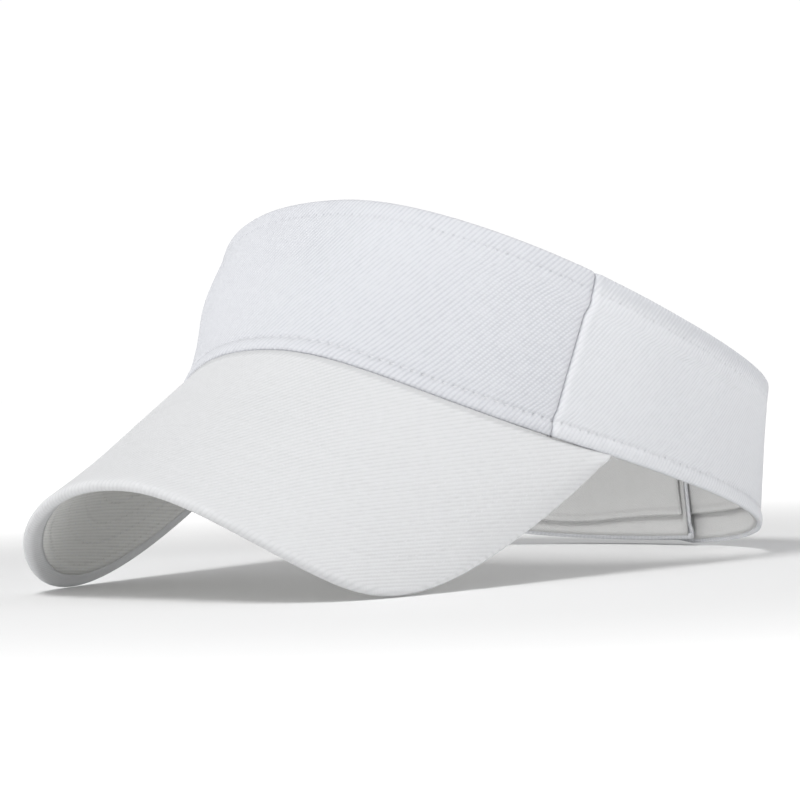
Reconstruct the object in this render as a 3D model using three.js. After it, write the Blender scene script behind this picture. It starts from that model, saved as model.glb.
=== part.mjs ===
// Sun visor, at rest on its brim lobes and the back of its band.
// Millimetres, +Z up, brim towards -Y, wearer's left towards +X.
import * as THREE from "three";
import { mergeVertices } from "three/addons/utils/BufferGeometryUtils.js";

const RAD = Math.PI / 180;

// ---- Band plan: a rounded oval read at the bottom edge -------------------------------------------
const HALF_WIDTH = 79.4;        // half the oval's width, ear to ear
const HALF_LENGTH = 99.5;       // half the oval's length, forehead to nape
const SQUARENESS = 2.23;        // 2 is a true ellipse, more is squarer
const FRONT_NARROWING = -0.127; // share by which the forehead end is narrower than the nape end
const REST_TILT = 18.2;         // degrees the band leans back when the visor rests on its brim
const REST_HEIGHT = 30.7;       // height of the oval's centre above the table

// ---- Band edges, heights measured square to the oval's plane ------------------------------------
const EDGE_LOW = [0, 2.2, 3.7, 1.85, 0.7];       // bottom edge: mean, then the waves round the head
const EDGE_HIGH = [48.5, 6.0, 5.9, -1.0, 0];     // top edge, the same way
const LEAN = [6.6, -1.9, 11.4];                  // wall's inward lean in degrees, the same way
const STRAP_HEIGHT = 40;        // height of the band where it closes at the nape
const TAPER_START = 124;        // degrees round from the centre front where the band starts to narrow
const TAPER_END = 164;          // degrees where it has reached the strap height

// ---- Cloth, stiffeners and fits -----------------------------------------------------------------
const CLOTH = 0.8;              // cotton twill
const STIFFENER = 1.0;          // buckram behind the forehead, lining behind the sides
const SWEAT_THICK = 1.2;        // sweatband
const TAPE_THICK = 0.5;         // seam tape
const CLEARANCE = 0.3;          // between neighbouring layers
const SEAM_GAP = 0.4;           // between panels that meet edge to edge
const HEM_TURN = 7;             // depth of cloth turned in over the top edge
const HEM_ROLL = 3.6;           // height of the rolled hem at the bottom edge
const HEM_SWELL = 0.6;          // how far that hem stands proud
const EDGE_ROUND = 0.4;         // softening of cut edges
const SEAM_LOW = 66.7;          // degrees from centre front to the front/side seam, bottom edge
const SEAM_HIGH = 69.7;         // the same at the top edge
const TAPE_WIDTH = 10;          // seam tape
const TAPE_OVER_SWEAT = 4;      // the tape's lower end above the sweatband
const SWEAT_LIFT = 4;           // sweatband's lower edge above the bottom edge
const SWEAT_LIFT_LEFT = 8;      // the same on the wearer's left strap, where it rides higher
const SWEAT_WIDTH = 20;         // sweatband's height

// ---- Closure at the nape: left strap outside, right strap inside --------------------------------
const TAB_ROOT = 170;           // degrees round to the wearer's left where the closure tab bends
const TAB_END = 204;            // degrees where the tab ends, past the centre back
const TAB_GAP = 0.8;            // slit at the bend
const TAB_CLOTH = 1.6;          // the tab is folded double
const TAB_CORNER = 9;           // rounding of the tab's end
const TAB_SET_IN = 1;           // tab is this much narrower than the strap, each edge
const HOOK_THICK = 1.2;
const LOOP_THICK = 1.1;
const HOOK_LOOP_GAP = 0.4;      // hooks stand this far off the loops when closed
const PATCH_SET_IN = 7;         // patches stop this far inside the strap's edges
const HOOK_SPAN = [178, 201];   // degrees covered by the hook patch
const LOOP_SPAN = [174, 203];   // degrees covered by the loop patch
const RIGHT_END = 165;          // degrees where the inner strap ends
const STEP_START = 222;         // degrees where the inner strap starts to step inwards
const STEP_END = 207;           // degrees where it has passed under the tab
const STEP_IN = TAB_CLOTH + CLEARANCE + HOOK_THICK + HOOK_LOOP_GAP + LOOP_THICK + CLEARANCE;

// ---- Brim ---------------------------------------------------------------------------------------
const BRIM_SPREAD = 79;         // degrees from centre front to each tip
const BRIM_LENGTH = 73.5;       // seam to edge at the centre, along the slope
const BRIM_LOBE = 0.36;         // share by which the brim is longer towards its lobes
const BRIM_CORNER = 13;         // how square the lobes are: higher is squarer
const BRIM_EASE = 0.18;         // how quickly the edge runs into the tips
const BRIM_SLOPE = 33.9;        // degrees down at the centre
const BRIM_SLOPE_SIDE = -4.4;   // extra slope towards the tips
const BRIM_FAN = -0.086;        // sideways spread of the brim
const BRIM_CURL = 1.06e-3;      // upward curl, mm per mm of length squared
const BOARD = 1.6;              // plastic board inside
const BRIM_CLOTH = 0.7;
const BRIM_RISE = 1.2;          // how far the upper face stands over the reference surface at the rim
const BRIM_TUCK = 2.4;          // how far the brim passes under the band's bottom edge
const RIM_LIP = 5;              // upper cloth wraps round the rim and under by this much
const BOARD_SET_IN = 2;         // board starts this far out from the seam
const BOARD_SHORT = 2;          // stations by which the board stops short of each tip
const BRIM_STATIONS = 56;
const MIN_SPOKE = 5;            // shortest line across the brim, at its tips

// ---- Mesh fineness ------------------------------------------------------------------------------
const FINE = 4.5;               // degrees round the head per step
const ROWS = [0.2, 0.4, 0.6, 0.8]; // rows up the band, as shares of its height
const SPAN = 1000;              // stands for the band's whole height in a section drawing
const NEAR_EDGE = 100;          // section heights closer than this to an end are true millimetres

const wave = (terms, phi) => terms.reduce((sum, k, i) => sum + k * Math.cos(i * phi), 0);
const none = () => 0;
const mix = (a, b, t) => a + (b - a) * t;
const ease = (t) => { const s = Math.min(1, Math.max(0, t)); return s * s * (3 - 2 * s); };
const rounded = (v, power) => Math.sign(v) * Math.abs(v) ** power;

/** Point of the oval at an angle round the head, and the outward direction there. */
function oval(phi) {
  const at = (a) => [
    HALF_WIDTH * rounded(Math.sin(a), 2 / SQUARENESS) * (1 + FRONT_NARROWING * Math.cos(a)),
    -HALF_LENGTH * rounded(Math.cos(a), 2 / SQUARENESS),
  ];
  const [x, y] = at(phi);
  const [x0, y0] = at(phi - 2e-3);
  const [x1, y1] = at(phi + 2e-3);
  const length = Math.hypot(x1 - x0, y1 - y0);
  return { x, y, nx: (y1 - y0) / length, ny: -(x1 - x0) / length };
}

const bottomEdge = (phi) => wave(EDGE_LOW, phi);

function topEdge(phi) {
  const turn = Math.abs(Math.atan2(Math.sin(phi), Math.cos(phi))) / RAD;
  const taper = ease((turn - TAPER_START) / (TAPER_END - TAPER_START));
  return mix(wave(EDGE_HIGH, phi), bottomEdge(phi) + STRAP_HEIGHT, taper);
}

/** Point of the band: angle, height over the oval's plane, distance outwards from the cloth's face. */
function bandPoint(phi, height, out) {
  const p = oval(phi);
  const off = out - height * Math.tan(wave(LEAN, phi) * RAD);
  const x = p.x + p.nx * off;
  const y = p.y + p.ny * off;
  const c = Math.cos(REST_TILT * RAD);
  const s = Math.sin(REST_TILT * RAD);
  return new THREE.Vector3(x, y * c + height * s, -y * s + height * c + REST_HEIGHT);
}

/** Warps a plain extrusion or box and closes it into one body. */
function warped(source, place) {
  source.deleteAttribute("normal");
  source.deleteAttribute("uv");
  const geometry = mergeVertices(source, 1e-5);
  const position = geometry.attributes.position;
  for (let i = 0; i < position.count; i += 1) {
    const p = place(position.getX(i), position.getY(i), position.getZ(i));
    position.setXYZ(i, p.x, p.y, p.z);
  }
  geometry.computeVertexNormals();
  return geometry;
}

// Places on a section: above the bottom edge, below the top edge, or at a share of the height.
const low = (height, out) => new THREE.Vector2(height, out);
const high = (depth, out) => new THREE.Vector2(SPAN - depth, out);
const rows = (out) => ROWS.map((share) => new THREE.Vector2(SPAN * share, out));
const rowsDown = (out) => rows(out).reverse();

/** Height of a section place over the oval's plane. */
function sectionHeight(place, phi, lift, trim) {
  const bottom = bottomEdge(phi) + trim;
  const top = topEdge(phi) - trim;
  if (place < NEAR_EDGE) return bottom + place + lift;
  if (place > SPAN - NEAR_EDGE) return top - (SPAN - place);
  return mix(bottom, top, place / SPAN);
}

/** Angles between two ends that every strip shares, so neighbouring layers bend alike. */
function sharedAngles(from, to, pitch) {
  const angles = [];
  for (let k = Math.ceil(from / pitch + 0.25); k * pitch < to - pitch / 4; k += 1) {
    angles.push(k * pitch);
  }
  return angles;
}

/**
 * Runs a section round the band between two angles, each given at the bottom and the top
 * edge. By angle, shift moves the section outwards, lift raises its low places and trim
 * draws its two edges together.
 */
function bandStrip(section, from, to, { shift = none, trim = none, lift = none, pitch = FINE } = {}) {
  const starts = [].concat(from, from);
  const ends = [].concat(to, to);
  const between = sharedAngles(Math.max(starts[0], starts[1]), Math.min(ends[0], ends[1]), pitch);
  const count = between.length + 1;
  const source = new THREE.ExtrudeGeometry(new THREE.Shape(section), {
    depth: 1, steps: count, bevelEnabled: false,
  });
  return warped(source, (place, out, along) => {
    const share = place < NEAR_EDGE ? 0 : place > SPAN - NEAR_EDGE ? 1 : place / SPAN;
    const station = Math.round(along * count);
    let angle = between[station - 1];
    if (station === 0) angle = mix(starts[0], starts[1], share);
    if (station === count) angle = mix(ends[0], ends[1], share);
    const height = sectionHeight(place, angle * RAD, lift(angle), trim(angle));
    return bandPoint(angle * RAD, height, out + shift(angle));
  });
}

/** Flat strip section between two places, outer face at `out`, softened corners. */
function stripSection(start, end, out, thick) {
  const r = Math.min(EDGE_ROUND, thick * 0.4);
  const between = (list) => list.filter((p) => p.x > start.x && p.x < end.x);
  const isShort = end.x < NEAR_EDGE;
  const middle = (start.x + end.x) / 2;
  const up = isShort ? [new THREE.Vector2(middle, out - thick)] : between(rows(out - thick));
  const down = isShort ? [new THREE.Vector2(middle, out)] : between(rowsDown(out));
  return [
    new THREE.Vector2(start.x, out - thick + r),
    new THREE.Vector2(start.x + r, out - thick),
    ...up,
    new THREE.Vector2(end.x - r, out - thick),
    new THREE.Vector2(end.x, out - thick + r),
    new THREE.Vector2(end.x, out - r),
    new THREE.Vector2(end.x - r, out),
    ...down,
    new THREE.Vector2(start.x + r, out),
    new THREE.Vector2(start.x, out - r),
  ];
}

/** Outer panel: skin, cloth turned in over the top edge, rolled hem along the bottom edge. */
function panelSection() {
  const inner = -(CLOTH + CLEARANCE + STIFFENER + CLEARANCE);
  return [
    low(0, -CLOTH),
    ...rows(-CLOTH),
    high(CLOTH, -CLOTH),
    high(CLOTH, inner),
    high(HEM_TURN, inner),
    high(HEM_TURN, inner - CLOTH),
    high(EDGE_ROUND, inner - CLOTH),
    high(0, inner - CLOTH + EDGE_ROUND),
    high(0, -EDGE_ROUND),
    high(EDGE_ROUND, 0),
    ...rowsDown(0),
    low(HEM_ROLL, 0),
    low(HEM_ROLL * 0.75, HEM_SWELL),
    low(HEM_ROLL * 0.25, HEM_SWELL),
    low(0, HEM_SWELL * 0.3),
  ];
}

const stiffenerSection = () =>
  stripSection(low(0, 0), high(CLOTH + CLEARANCE, 0), -(CLOTH + CLEARANCE), STIFFENER);

/** Half a gap measured along the band, in degrees. */
const gapAngle = (gap) => gap / 2 / ((HALF_WIDTH + HALF_LENGTH) / 2) / RAD;

// The inner strap steps inwards so that it passes under the tab.
const stepIn = (angle) => {
  const round = angle < 0 ? angle + 360 : angle;
  return -STEP_IN * ease((STEP_START - round) / (STEP_START - STEP_END));
};

// The tab's end is rounded.
const tabTrim = (angle) => {
  const reach = (TAB_END - angle) * RAD * (HALF_WIDTH + HALF_LENGTH) / 2;
  if (reach >= TAB_CORNER) return 0;
  const rest = TAB_CORNER - Math.max(0, reach);
  return TAB_CORNER - Math.sqrt(Math.max(0, TAB_CORNER ** 2 - rest ** 2));
};

// The sweatband rides higher on the straps, as far as their turned-in edge leaves room.
const SWEAT_RIDE = Math.min(SWEAT_LIFT_LEFT, STRAP_HEIGHT - HEM_TURN - 1 - SWEAT_WIDTH) - SWEAT_LIFT;
const sweatLift = (angle) =>
  SWEAT_RIDE * (ease((angle - 100) / 50) + 0.6 * ease((-165 - angle) / 22));

// ---- Brim surface -------------------------------------------------------------------------------
const brimReach = (phi) => {
  const w = Math.min(1, Math.abs(phi) / (BRIM_SPREAD * RAD));
  const reach = BRIM_LENGTH * (1 - w ** BRIM_CORNER) ** BRIM_EASE * (1 + BRIM_LOBE * w * w);
  return Math.max(MIN_SPOKE, reach);
};

/** Point of the brim's reference surface, `reach` out from the seam. */
function brimSurface(phi, reach) {
  const slope = (BRIM_SLOPE + BRIM_SLOPE_SIDE * Math.sin(phi) ** 2) * RAD;
  const way = new THREE.Vector3(BRIM_FAN * Math.sin(phi), -Math.cos(slope), -Math.sin(slope));
  const root = bandPoint(phi, bottomEdge(phi), 0);
  const p = root.addScaledVector(way.normalize(), reach);
  p.z += BRIM_CURL * reach * reach;
  return p;
}

function brimNormal(phi, reach) {
  const h = 0.02;
  const du = brimSurface(phi + h, reach).sub(brimSurface(phi - h, reach));
  const dv = brimSurface(phi, reach + 1).sub(brimSurface(phi, reach - 1));
  return dv.cross(du).normalize();
}

/** Angles of the free edge's stations, evenly spaced along the edge. */
const EDGE_ANGLES = (() => {
  const fine = 4000;
  const samples = [];
  for (let i = 0; i <= fine; i += 1) {
    const s = (2 * i) / fine - 1;
    const w = Math.sign(s) * (1 - (1 - Math.abs(s)) ** 3);
    const phi = w * BRIM_SPREAD * RAD;
    samples.push({ phi, p: brimSurface(phi, brimReach(phi)) });
  }
  const run = [0];
  for (let i = 1; i <= fine; i += 1) run.push(run[i - 1] + samples[i].p.distanceTo(samples[i - 1].p));
  const angles = [];
  for (let k = 0, i = 0; k <= BRIM_STATIONS; k += 1) {
    const want = (run[fine] * k) / BRIM_STATIONS;
    while (i < fine && run[i] < want) i += 1;
    angles.push(samples[i].phi);
  }
  return angles;
})();

/**
 * Point of the brim at a station: share of the way out, distance over the reference surface,
 * and extra distance outwards at the rim.
 */
function brimPoint(station, share, over, beyond = 0) {
  const s = (2 * station) / BRIM_STATIONS - 1;
  const edge = EDGE_ANGLES[station];
  const phi = mix(s * BRIM_SPREAD * RAD, edge, share);
  const reach = brimReach(edge) * share;
  const p = brimSurface(phi, reach);
  p.addScaledVector(brimNormal(phi, reach), over + BRIM_RISE * share);
  if (beyond) {
    const before = brimSurface(mix(s * BRIM_SPREAD * RAD, edge, share - 0.05), reach * 0.95 / share);
    p.addScaledVector(brimSurface(phi, reach).sub(before).normalize(), beyond);
  }
  return p;
}

/** Length of the line across the brim at a station. */
const spokeLength = (station) => brimReach(EDGE_ANGLES[station]);

/** Brim point under the band's bottom edge, some way in from the band's face. */
function tuckPoint(station, over, inwards) {
  const phi = ((2 * station) / BRIM_STATIONS - 1) * BRIM_SPREAD * RAD;
  return bandPoint(phi, bottomEdge(phi) - CLEARANCE + over, -inwards);
}

/**
 * One layer of the brim: a box whose grid is laid from tip to tip and from root to rim.
 * `column` lists the places across the brim, each giving the upper and the lower point.
 */
function brimLayer(columns, first = 0, last = BRIM_STATIONS) {
  const source = new THREE.BoxGeometry(1, 1, 1, last - first, columns.length - 1, 1);
  return warped(source, (x, y, z) => {
    const station = last - Math.round((x + 0.5) * (last - first));
    const column = columns[Math.round((y + 0.5) * (columns.length - 1))];
    return column(station, z > 0);
  });
}

const SHARES = [0.2, 0.4, 0.6, 0.8];
const TOP_FACE = -CLEARANCE;                                  // upper cloth's face at the seam
const BOARD_TOP = TOP_FACE - BRIM_CLOTH - CLEARANCE;
const UNDER_TOP = BOARD_TOP - BOARD - CLEARANCE;
const RIM_WALL = BRIM_CLOTH + CLEARANCE;
const lipShare = (station) => 1 - Math.min(RIM_LIP, spokeLength(station) * 0.35) / spokeLength(station);

function upperCover() {
  const face = (share) => (station, isUpper) =>
    brimPoint(station, share, isUpper ? TOP_FACE : TOP_FACE - BRIM_CLOTH);
  const tuck = (inwards) => (station, isUpper) =>
    tuckPoint(station, isUpper ? 0 : -BRIM_CLOTH, inwards);
  const middle = TOP_FACE - (BRIM_CLOTH * 2 + BOARD + 2 * CLEARANCE) / 2;
  const half = (BRIM_CLOTH * 2 + BOARD + 2 * CLEARANCE) / 2;
  // The rim is a half round that carries the cloth from the upper to the lower face.
  const turn = (angle) => (station, isUpper) => {
    const r = isUpper ? half : half - BRIM_CLOTH;
    return brimPoint(station, 1, middle + r * Math.cos(angle * RAD), r * Math.sin(angle * RAD));
  };
  const lip = (station, isUpper) => brimPoint(
    station, lipShare(station), isUpper ? middle - half : middle - half + BRIM_CLOTH,
  );
  return brimLayer([
    tuck(BRIM_TUCK), tuck(0), face(0.03), ...SHARES.map(face),
    turn(0), turn(45), turn(90), turn(135), turn(180), lip,
  ]);
}

function board() {
  const at = (share) => (station, isUpper) => brimPoint(
    station,
    mix(BOARD_SET_IN / spokeLength(station), 1, share),
    isUpper ? BOARD_TOP : BOARD_TOP - BOARD,
  );
  return brimLayer([at(0), ...SHARES.map(at), at(1)], BOARD_SHORT, BRIM_STATIONS - BOARD_SHORT);
}

function underCover() {
  const stop = (station) => lipShare(station) - CLEARANCE / spokeLength(station);
  const at = (share) => (station, isUpper) => brimPoint(
    station, share * stop(station), isUpper ? UNDER_TOP : UNDER_TOP - BRIM_CLOTH,
  );
  const tuck = (station, isUpper) => tuckPoint(
    station, (isUpper ? UNDER_TOP : UNDER_TOP - BRIM_CLOTH) - TOP_FACE, BRIM_TUCK,
  );
  return brimLayer([tuck, at(0.03), ...SHARES.map(at), at(1)], 1, BRIM_STATIONS - 1);
}

// ---- Assembly -----------------------------------------------------------------------------------
const WHITE = { front: 0xe3e4ea, side: 0xdcdee2, brim: 0xe6e8ea, inside: 0xd2d2cf, board: 0xf0f0ee };
const group = new THREE.Group();
group.name = "sun_visor";

function add(name, geometry, colour) {
  const material = new THREE.MeshStandardMaterial({ color: colour, roughness: 0.9, metalness: 0 });
  const mesh = new THREE.Mesh(geometry, material);
  mesh.name = name;
  group.add(mesh);
}

const seam = gapAngle(SEAM_GAP);
const seamLow = SEAM_LOW - seam;
const seamHigh = SEAM_HIGH - seam;
add("front_panel",
  bandStrip(panelSection(), [-seamLow, -seamHigh], [seamLow, seamHigh]), WHITE.front);
add("front_buckram",
  bandStrip(stiffenerSection(), [-seamLow, -seamHigh], [seamLow, seamHigh]), WHITE.inside);

const sideLow = SEAM_LOW + seam;
const sideHigh = SEAM_HIGH + seam;
const tabSlit = gapAngle(TAB_GAP);
const leftFrom = [sideLow, sideHigh];
const leftTo = [TAB_ROOT - tabSlit, TAB_ROOT - tabSlit];
const rightFrom = [RIGHT_END - 360, RIGHT_END - 360];
const rightTo = [-sideLow, -sideHigh];
for (const [side, from, to, shift] of [
  ["left", leftFrom, leftTo, none],
  ["right", rightFrom, rightTo, stepIn],
]) {
  add(`side_panel_${side}`, bandStrip(panelSection(), from, to, { shift }), WHITE.side);
  add(`side_lining_${side}`, bandStrip(stiffenerSection(), from, to, { shift }), WHITE.inside);
}

const INSIDE = -(CLOTH + STIFFENER + 2 * CLEARANCE);          // where the inner trims start
const tapeAngle = TAPE_WIDTH / 2 / HALF_LENGTH / RAD;
const seamHeight = topEdge(SEAM_LOW * RAD) - bottomEdge(SEAM_LOW * RAD);
const tapeStart = (SWEAT_LIFT + SWEAT_WIDTH + TAPE_OVER_SWEAT) / seamHeight;
for (const [side, sign] of [["left", 1], ["right", -1]]) {
  const edges = [-1, 1].map((k) => [sign * SEAM_LOW + k * tapeAngle, sign * SEAM_HIGH + k * tapeAngle]);
  const section = stripSection(
    new THREE.Vector2(SPAN * tapeStart, 0), high(HEM_TURN + CLEARANCE, 0), INSIDE, TAPE_THICK,
  );
  add(`seam_tape_${side}`, bandStrip(section, edges[0], edges[1]), WHITE.inside);
}
add("sweatband", bandStrip(
  stripSection(low(SWEAT_LIFT, 0), low(SWEAT_LIFT + SWEAT_WIDTH, 0), INSIDE, SWEAT_THICK),
  RIGHT_END - 360 + tabSlit, TAB_ROOT - 2 * tabSlit,
  { shift: (a) => (a < 0 ? stepIn(a) : 0), lift: sweatLift },
), WHITE.inside);

const tabShift = TAB_CLOTH + CLEARANCE;
add("closure_tab", bandStrip(
  stripSection(low(TAB_SET_IN, 0), high(TAB_SET_IN, 0), 0, TAB_CLOTH),
  TAB_ROOT + tabSlit, TAB_END, { trim: tabTrim, pitch: FINE / 4 },
), WHITE.side);
add("hook_patch", bandStrip(
  stripSection(low(PATCH_SET_IN, 0), high(PATCH_SET_IN, 0), -tabShift, HOOK_THICK),
  HOOK_SPAN[0], HOOK_SPAN[1],
), WHITE.board);
add("loop_patch", bandStrip(
  stripSection(low(PATCH_SET_IN, 0), high(PATCH_SET_IN, 0), -STEP_IN + CLEARANCE + LOOP_THICK, LOOP_THICK),
  LOOP_SPAN[0], LOOP_SPAN[1],
), WHITE.board);

add("brim_top_cover", upperCover(), WHITE.brim);
add("brim_board", board(), WHITE.board);
add("brim_under_cover", underCover(), WHITE.brim);

// Origin: centre of the footprint, on the table.
const box = new THREE.Box3().setFromObject(group);
const centre = box.getCenter(new THREE.Vector3());
for (const mesh of group.children) mesh.geometry.translate(-centre.x, -centre.y, -box.min.z);

export default group;
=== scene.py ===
"""Sun visor in white cotton twill: band, stiff curved brim and peel-open closure.

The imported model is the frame. Each cloth piece is laid again as a fine sheet over the
solid that it stands for, then sewn, and given its woven finish.
"""

from __future__ import annotations

import logging  # noqa: E402
import math  # noqa: E402
from dataclasses import dataclass, field  # noqa: E402
from enum import Enum  # noqa: E402
from typing import Callable, Sequence  # noqa: E402

import bpy  # noqa: E402
import numpy as np  # noqa: E402
from mathutils import Matrix, Vector  # noqa: E402


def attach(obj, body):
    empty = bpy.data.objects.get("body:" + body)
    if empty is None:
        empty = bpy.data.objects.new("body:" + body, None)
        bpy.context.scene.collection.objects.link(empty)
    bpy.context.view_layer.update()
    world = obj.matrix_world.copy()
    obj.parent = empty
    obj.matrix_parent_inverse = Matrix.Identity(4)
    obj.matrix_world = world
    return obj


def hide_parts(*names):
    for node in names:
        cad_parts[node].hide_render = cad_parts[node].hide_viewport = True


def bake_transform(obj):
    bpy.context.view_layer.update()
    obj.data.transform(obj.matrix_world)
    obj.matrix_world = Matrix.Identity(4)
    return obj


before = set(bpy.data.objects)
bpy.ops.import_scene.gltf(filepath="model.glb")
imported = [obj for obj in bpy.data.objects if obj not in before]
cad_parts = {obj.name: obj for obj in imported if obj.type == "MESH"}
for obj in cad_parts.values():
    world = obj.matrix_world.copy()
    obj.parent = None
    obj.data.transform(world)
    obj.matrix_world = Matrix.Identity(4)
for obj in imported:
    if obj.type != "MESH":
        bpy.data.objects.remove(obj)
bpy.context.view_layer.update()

LOG = logging.getLogger("sun_visor")
MM = 0.001
RAD = math.pi / 180
ONE_TURN = 6.28318
# Rough arc length of one degree round the band, in millimetres.
DEGREE_RUN = 1.55
# Distance that stands for "nowhere near", in millimetres.
FAR = 1e3
# Depths, in metres, of a seam's channel, of a needle hole and of the cloth's puckers.
CHANNEL_DEPTH = 0.0006
HOLE_DEPTH = 0.0008
PUCKER_DEPTH = 0.0006
Array = np.ndarray
Socket = bpy.types.NodeSocket


def ease(t: Array | float) -> Array | float:
    """Goes smoothly from 0 to 1."""
    s = np.clip(t, 0, 1)
    return s * s * (3 - 2 * s)


def mix(a: Array | float, b: Array | float, t: Array | float) -> Array | float:
    """Value a share t of the way from a to b."""
    return a + (b - a) * t


def unit(v: Array) -> Array:
    """Rows scaled to length 1."""
    return v / np.maximum(np.linalg.norm(v, axis=-1, keepdims=True), 1e-9)


# ---- Shapes that every piece follows -------------------------------------------------------------
@dataclass(frozen=True)
class BandForm:
    """The band's surface: an oval round the head, waved edges and a leaning wall. Millimetres.

    Args:
        edge_low: waves of the bottom edge's height round the head.
        edge_high: the same for the top edge.
        lean: waves of the wall's outward lean, in degrees.
        taper: angles between which the band narrows to the straps.
        front_swell: fullness before the wearer's right temple, its angle and its half width.
        back_swell: the same behind the left ear.
        swell_at: share of the height where the front fullness is greatest.
        swell_reach: share of the height over which it falls away.
    """

    half_width: float = 79.4
    half_length: float = 99.5
    squareness: float = 2.23
    front_narrowing: float = -0.127
    tilt: float = 18.2
    height_over_table: float = 30.7
    edge_low: tuple[float, ...] = (0, 2.2, 3.7, 1.85, 0.7)
    edge_high: tuple[float, ...] = (48.5, 6.0, 5.9, -1.0)
    lean: tuple[float, ...] = (6.6, -1.9, 11.4)
    strap_height: float = 40
    taper: tuple[float, float] = (124, 164)
    centre_y: float = -28.705
    table: float = 0.018
    front_swell: tuple[float, float, float] = (2.3, 49, 24)
    back_swell: tuple[float, float, float] = (0.8, 131, 26)
    swell_at: float = 0.61
    swell_reach: float = 0.23

    @staticmethod
    def wave(terms: Sequence[float], phi: Array) -> Array:
        """Sum of waves round the head."""
        return sum(k * np.cos(i * phi) for i, k in enumerate(terms))

    def oval(self, phi: Array) -> tuple[Array, Array]:
        """Point of the oval at an angle round the head."""
        power = 2 / self.squareness
        sine, cosine = np.sin(phi), np.cos(phi)
        x = self.half_width * np.sign(sine) * np.abs(sine) ** power
        y = -self.half_length * np.sign(cosine) * np.abs(cosine) ** power
        return x * (1 + self.front_narrowing * cosine), y

    def bottom(self, phi: Array) -> Array:
        """Height of the bottom edge over the oval's plane."""
        return self.wave(self.edge_low, phi)

    def top(self, phi: Array) -> Array:
        """Height of the top edge over the oval's plane."""
        turn = np.abs(np.arctan2(np.sin(phi), np.cos(phi))) / RAD
        share = ease((turn - self.taper[0]) / (self.taper[1] - self.taper[0]))
        return mix(self.wave(self.edge_high, phi), self.bottom(phi) + self.strap_height, share)

    def ripple(self, phi: Array, height: Array) -> Array:
        """Soft unevenness of the sewn cloth, as a share of its greatest swell."""
        low, high = self.bottom(phi), self.top(phi)
        share = (height - low) / (high - low)
        swell = np.sin(phi * 11 + 1.3) * np.sin(share * 5 + phi * 3) + 0.6 * np.sin(phi * 23)
        return np.sin(np.pi * np.clip(share, 0, 1)) * swell

    def swell(self, phi: Array, height: Array) -> Array:
        """Outward fullness of the worn band, off its stiffened shape."""
        turn = np.arctan2(np.sin(phi), np.cos(phi)) / RAD
        low = self.bottom(phi)
        share = (height - low) / (self.top(phi) - low)
        full, at, reach = self.front_swell
        upright = ((share - self.swell_at) / self.swell_reach) ** 2
        front = full * np.exp(-(((turn + at) / reach) ** 2) - upright)
        full, at, reach = self.back_swell
        return front + full * np.exp(-(((turn - at) / reach) ** 2))

    def point(self, phi: Array, height: Array, out: Array | float) -> Array:
        """Point of the band in the row frame.

        Args:
            phi: angle round the head from the centre front, towards the wearer's left.
            height: height over the oval's plane.
            out: distance outwards from the cloth's face.

        Returns:
            The point, in millimetres.
        """
        x, y = self.oval(phi)
        x0, y0 = self.oval(phi - 2e-3)
        x1, y1 = self.oval(phi + 2e-3)
        length = np.hypot(x1 - x0, y1 - y0)
        off = out - height * np.tan(self.wave(self.lean, phi) * RAD) + self.swell(phi, height)
        x = x + (y1 - y0) / length * off
        y = y - (x1 - x0) / length * off
        c, s = math.cos(self.tilt * RAD), math.sin(self.tilt * RAD)
        z = -y * s + height * c + self.height_over_table - self.table
        return np.stack([x + 0 * z, y * c + height * s - self.centre_y, z], -1)


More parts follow.
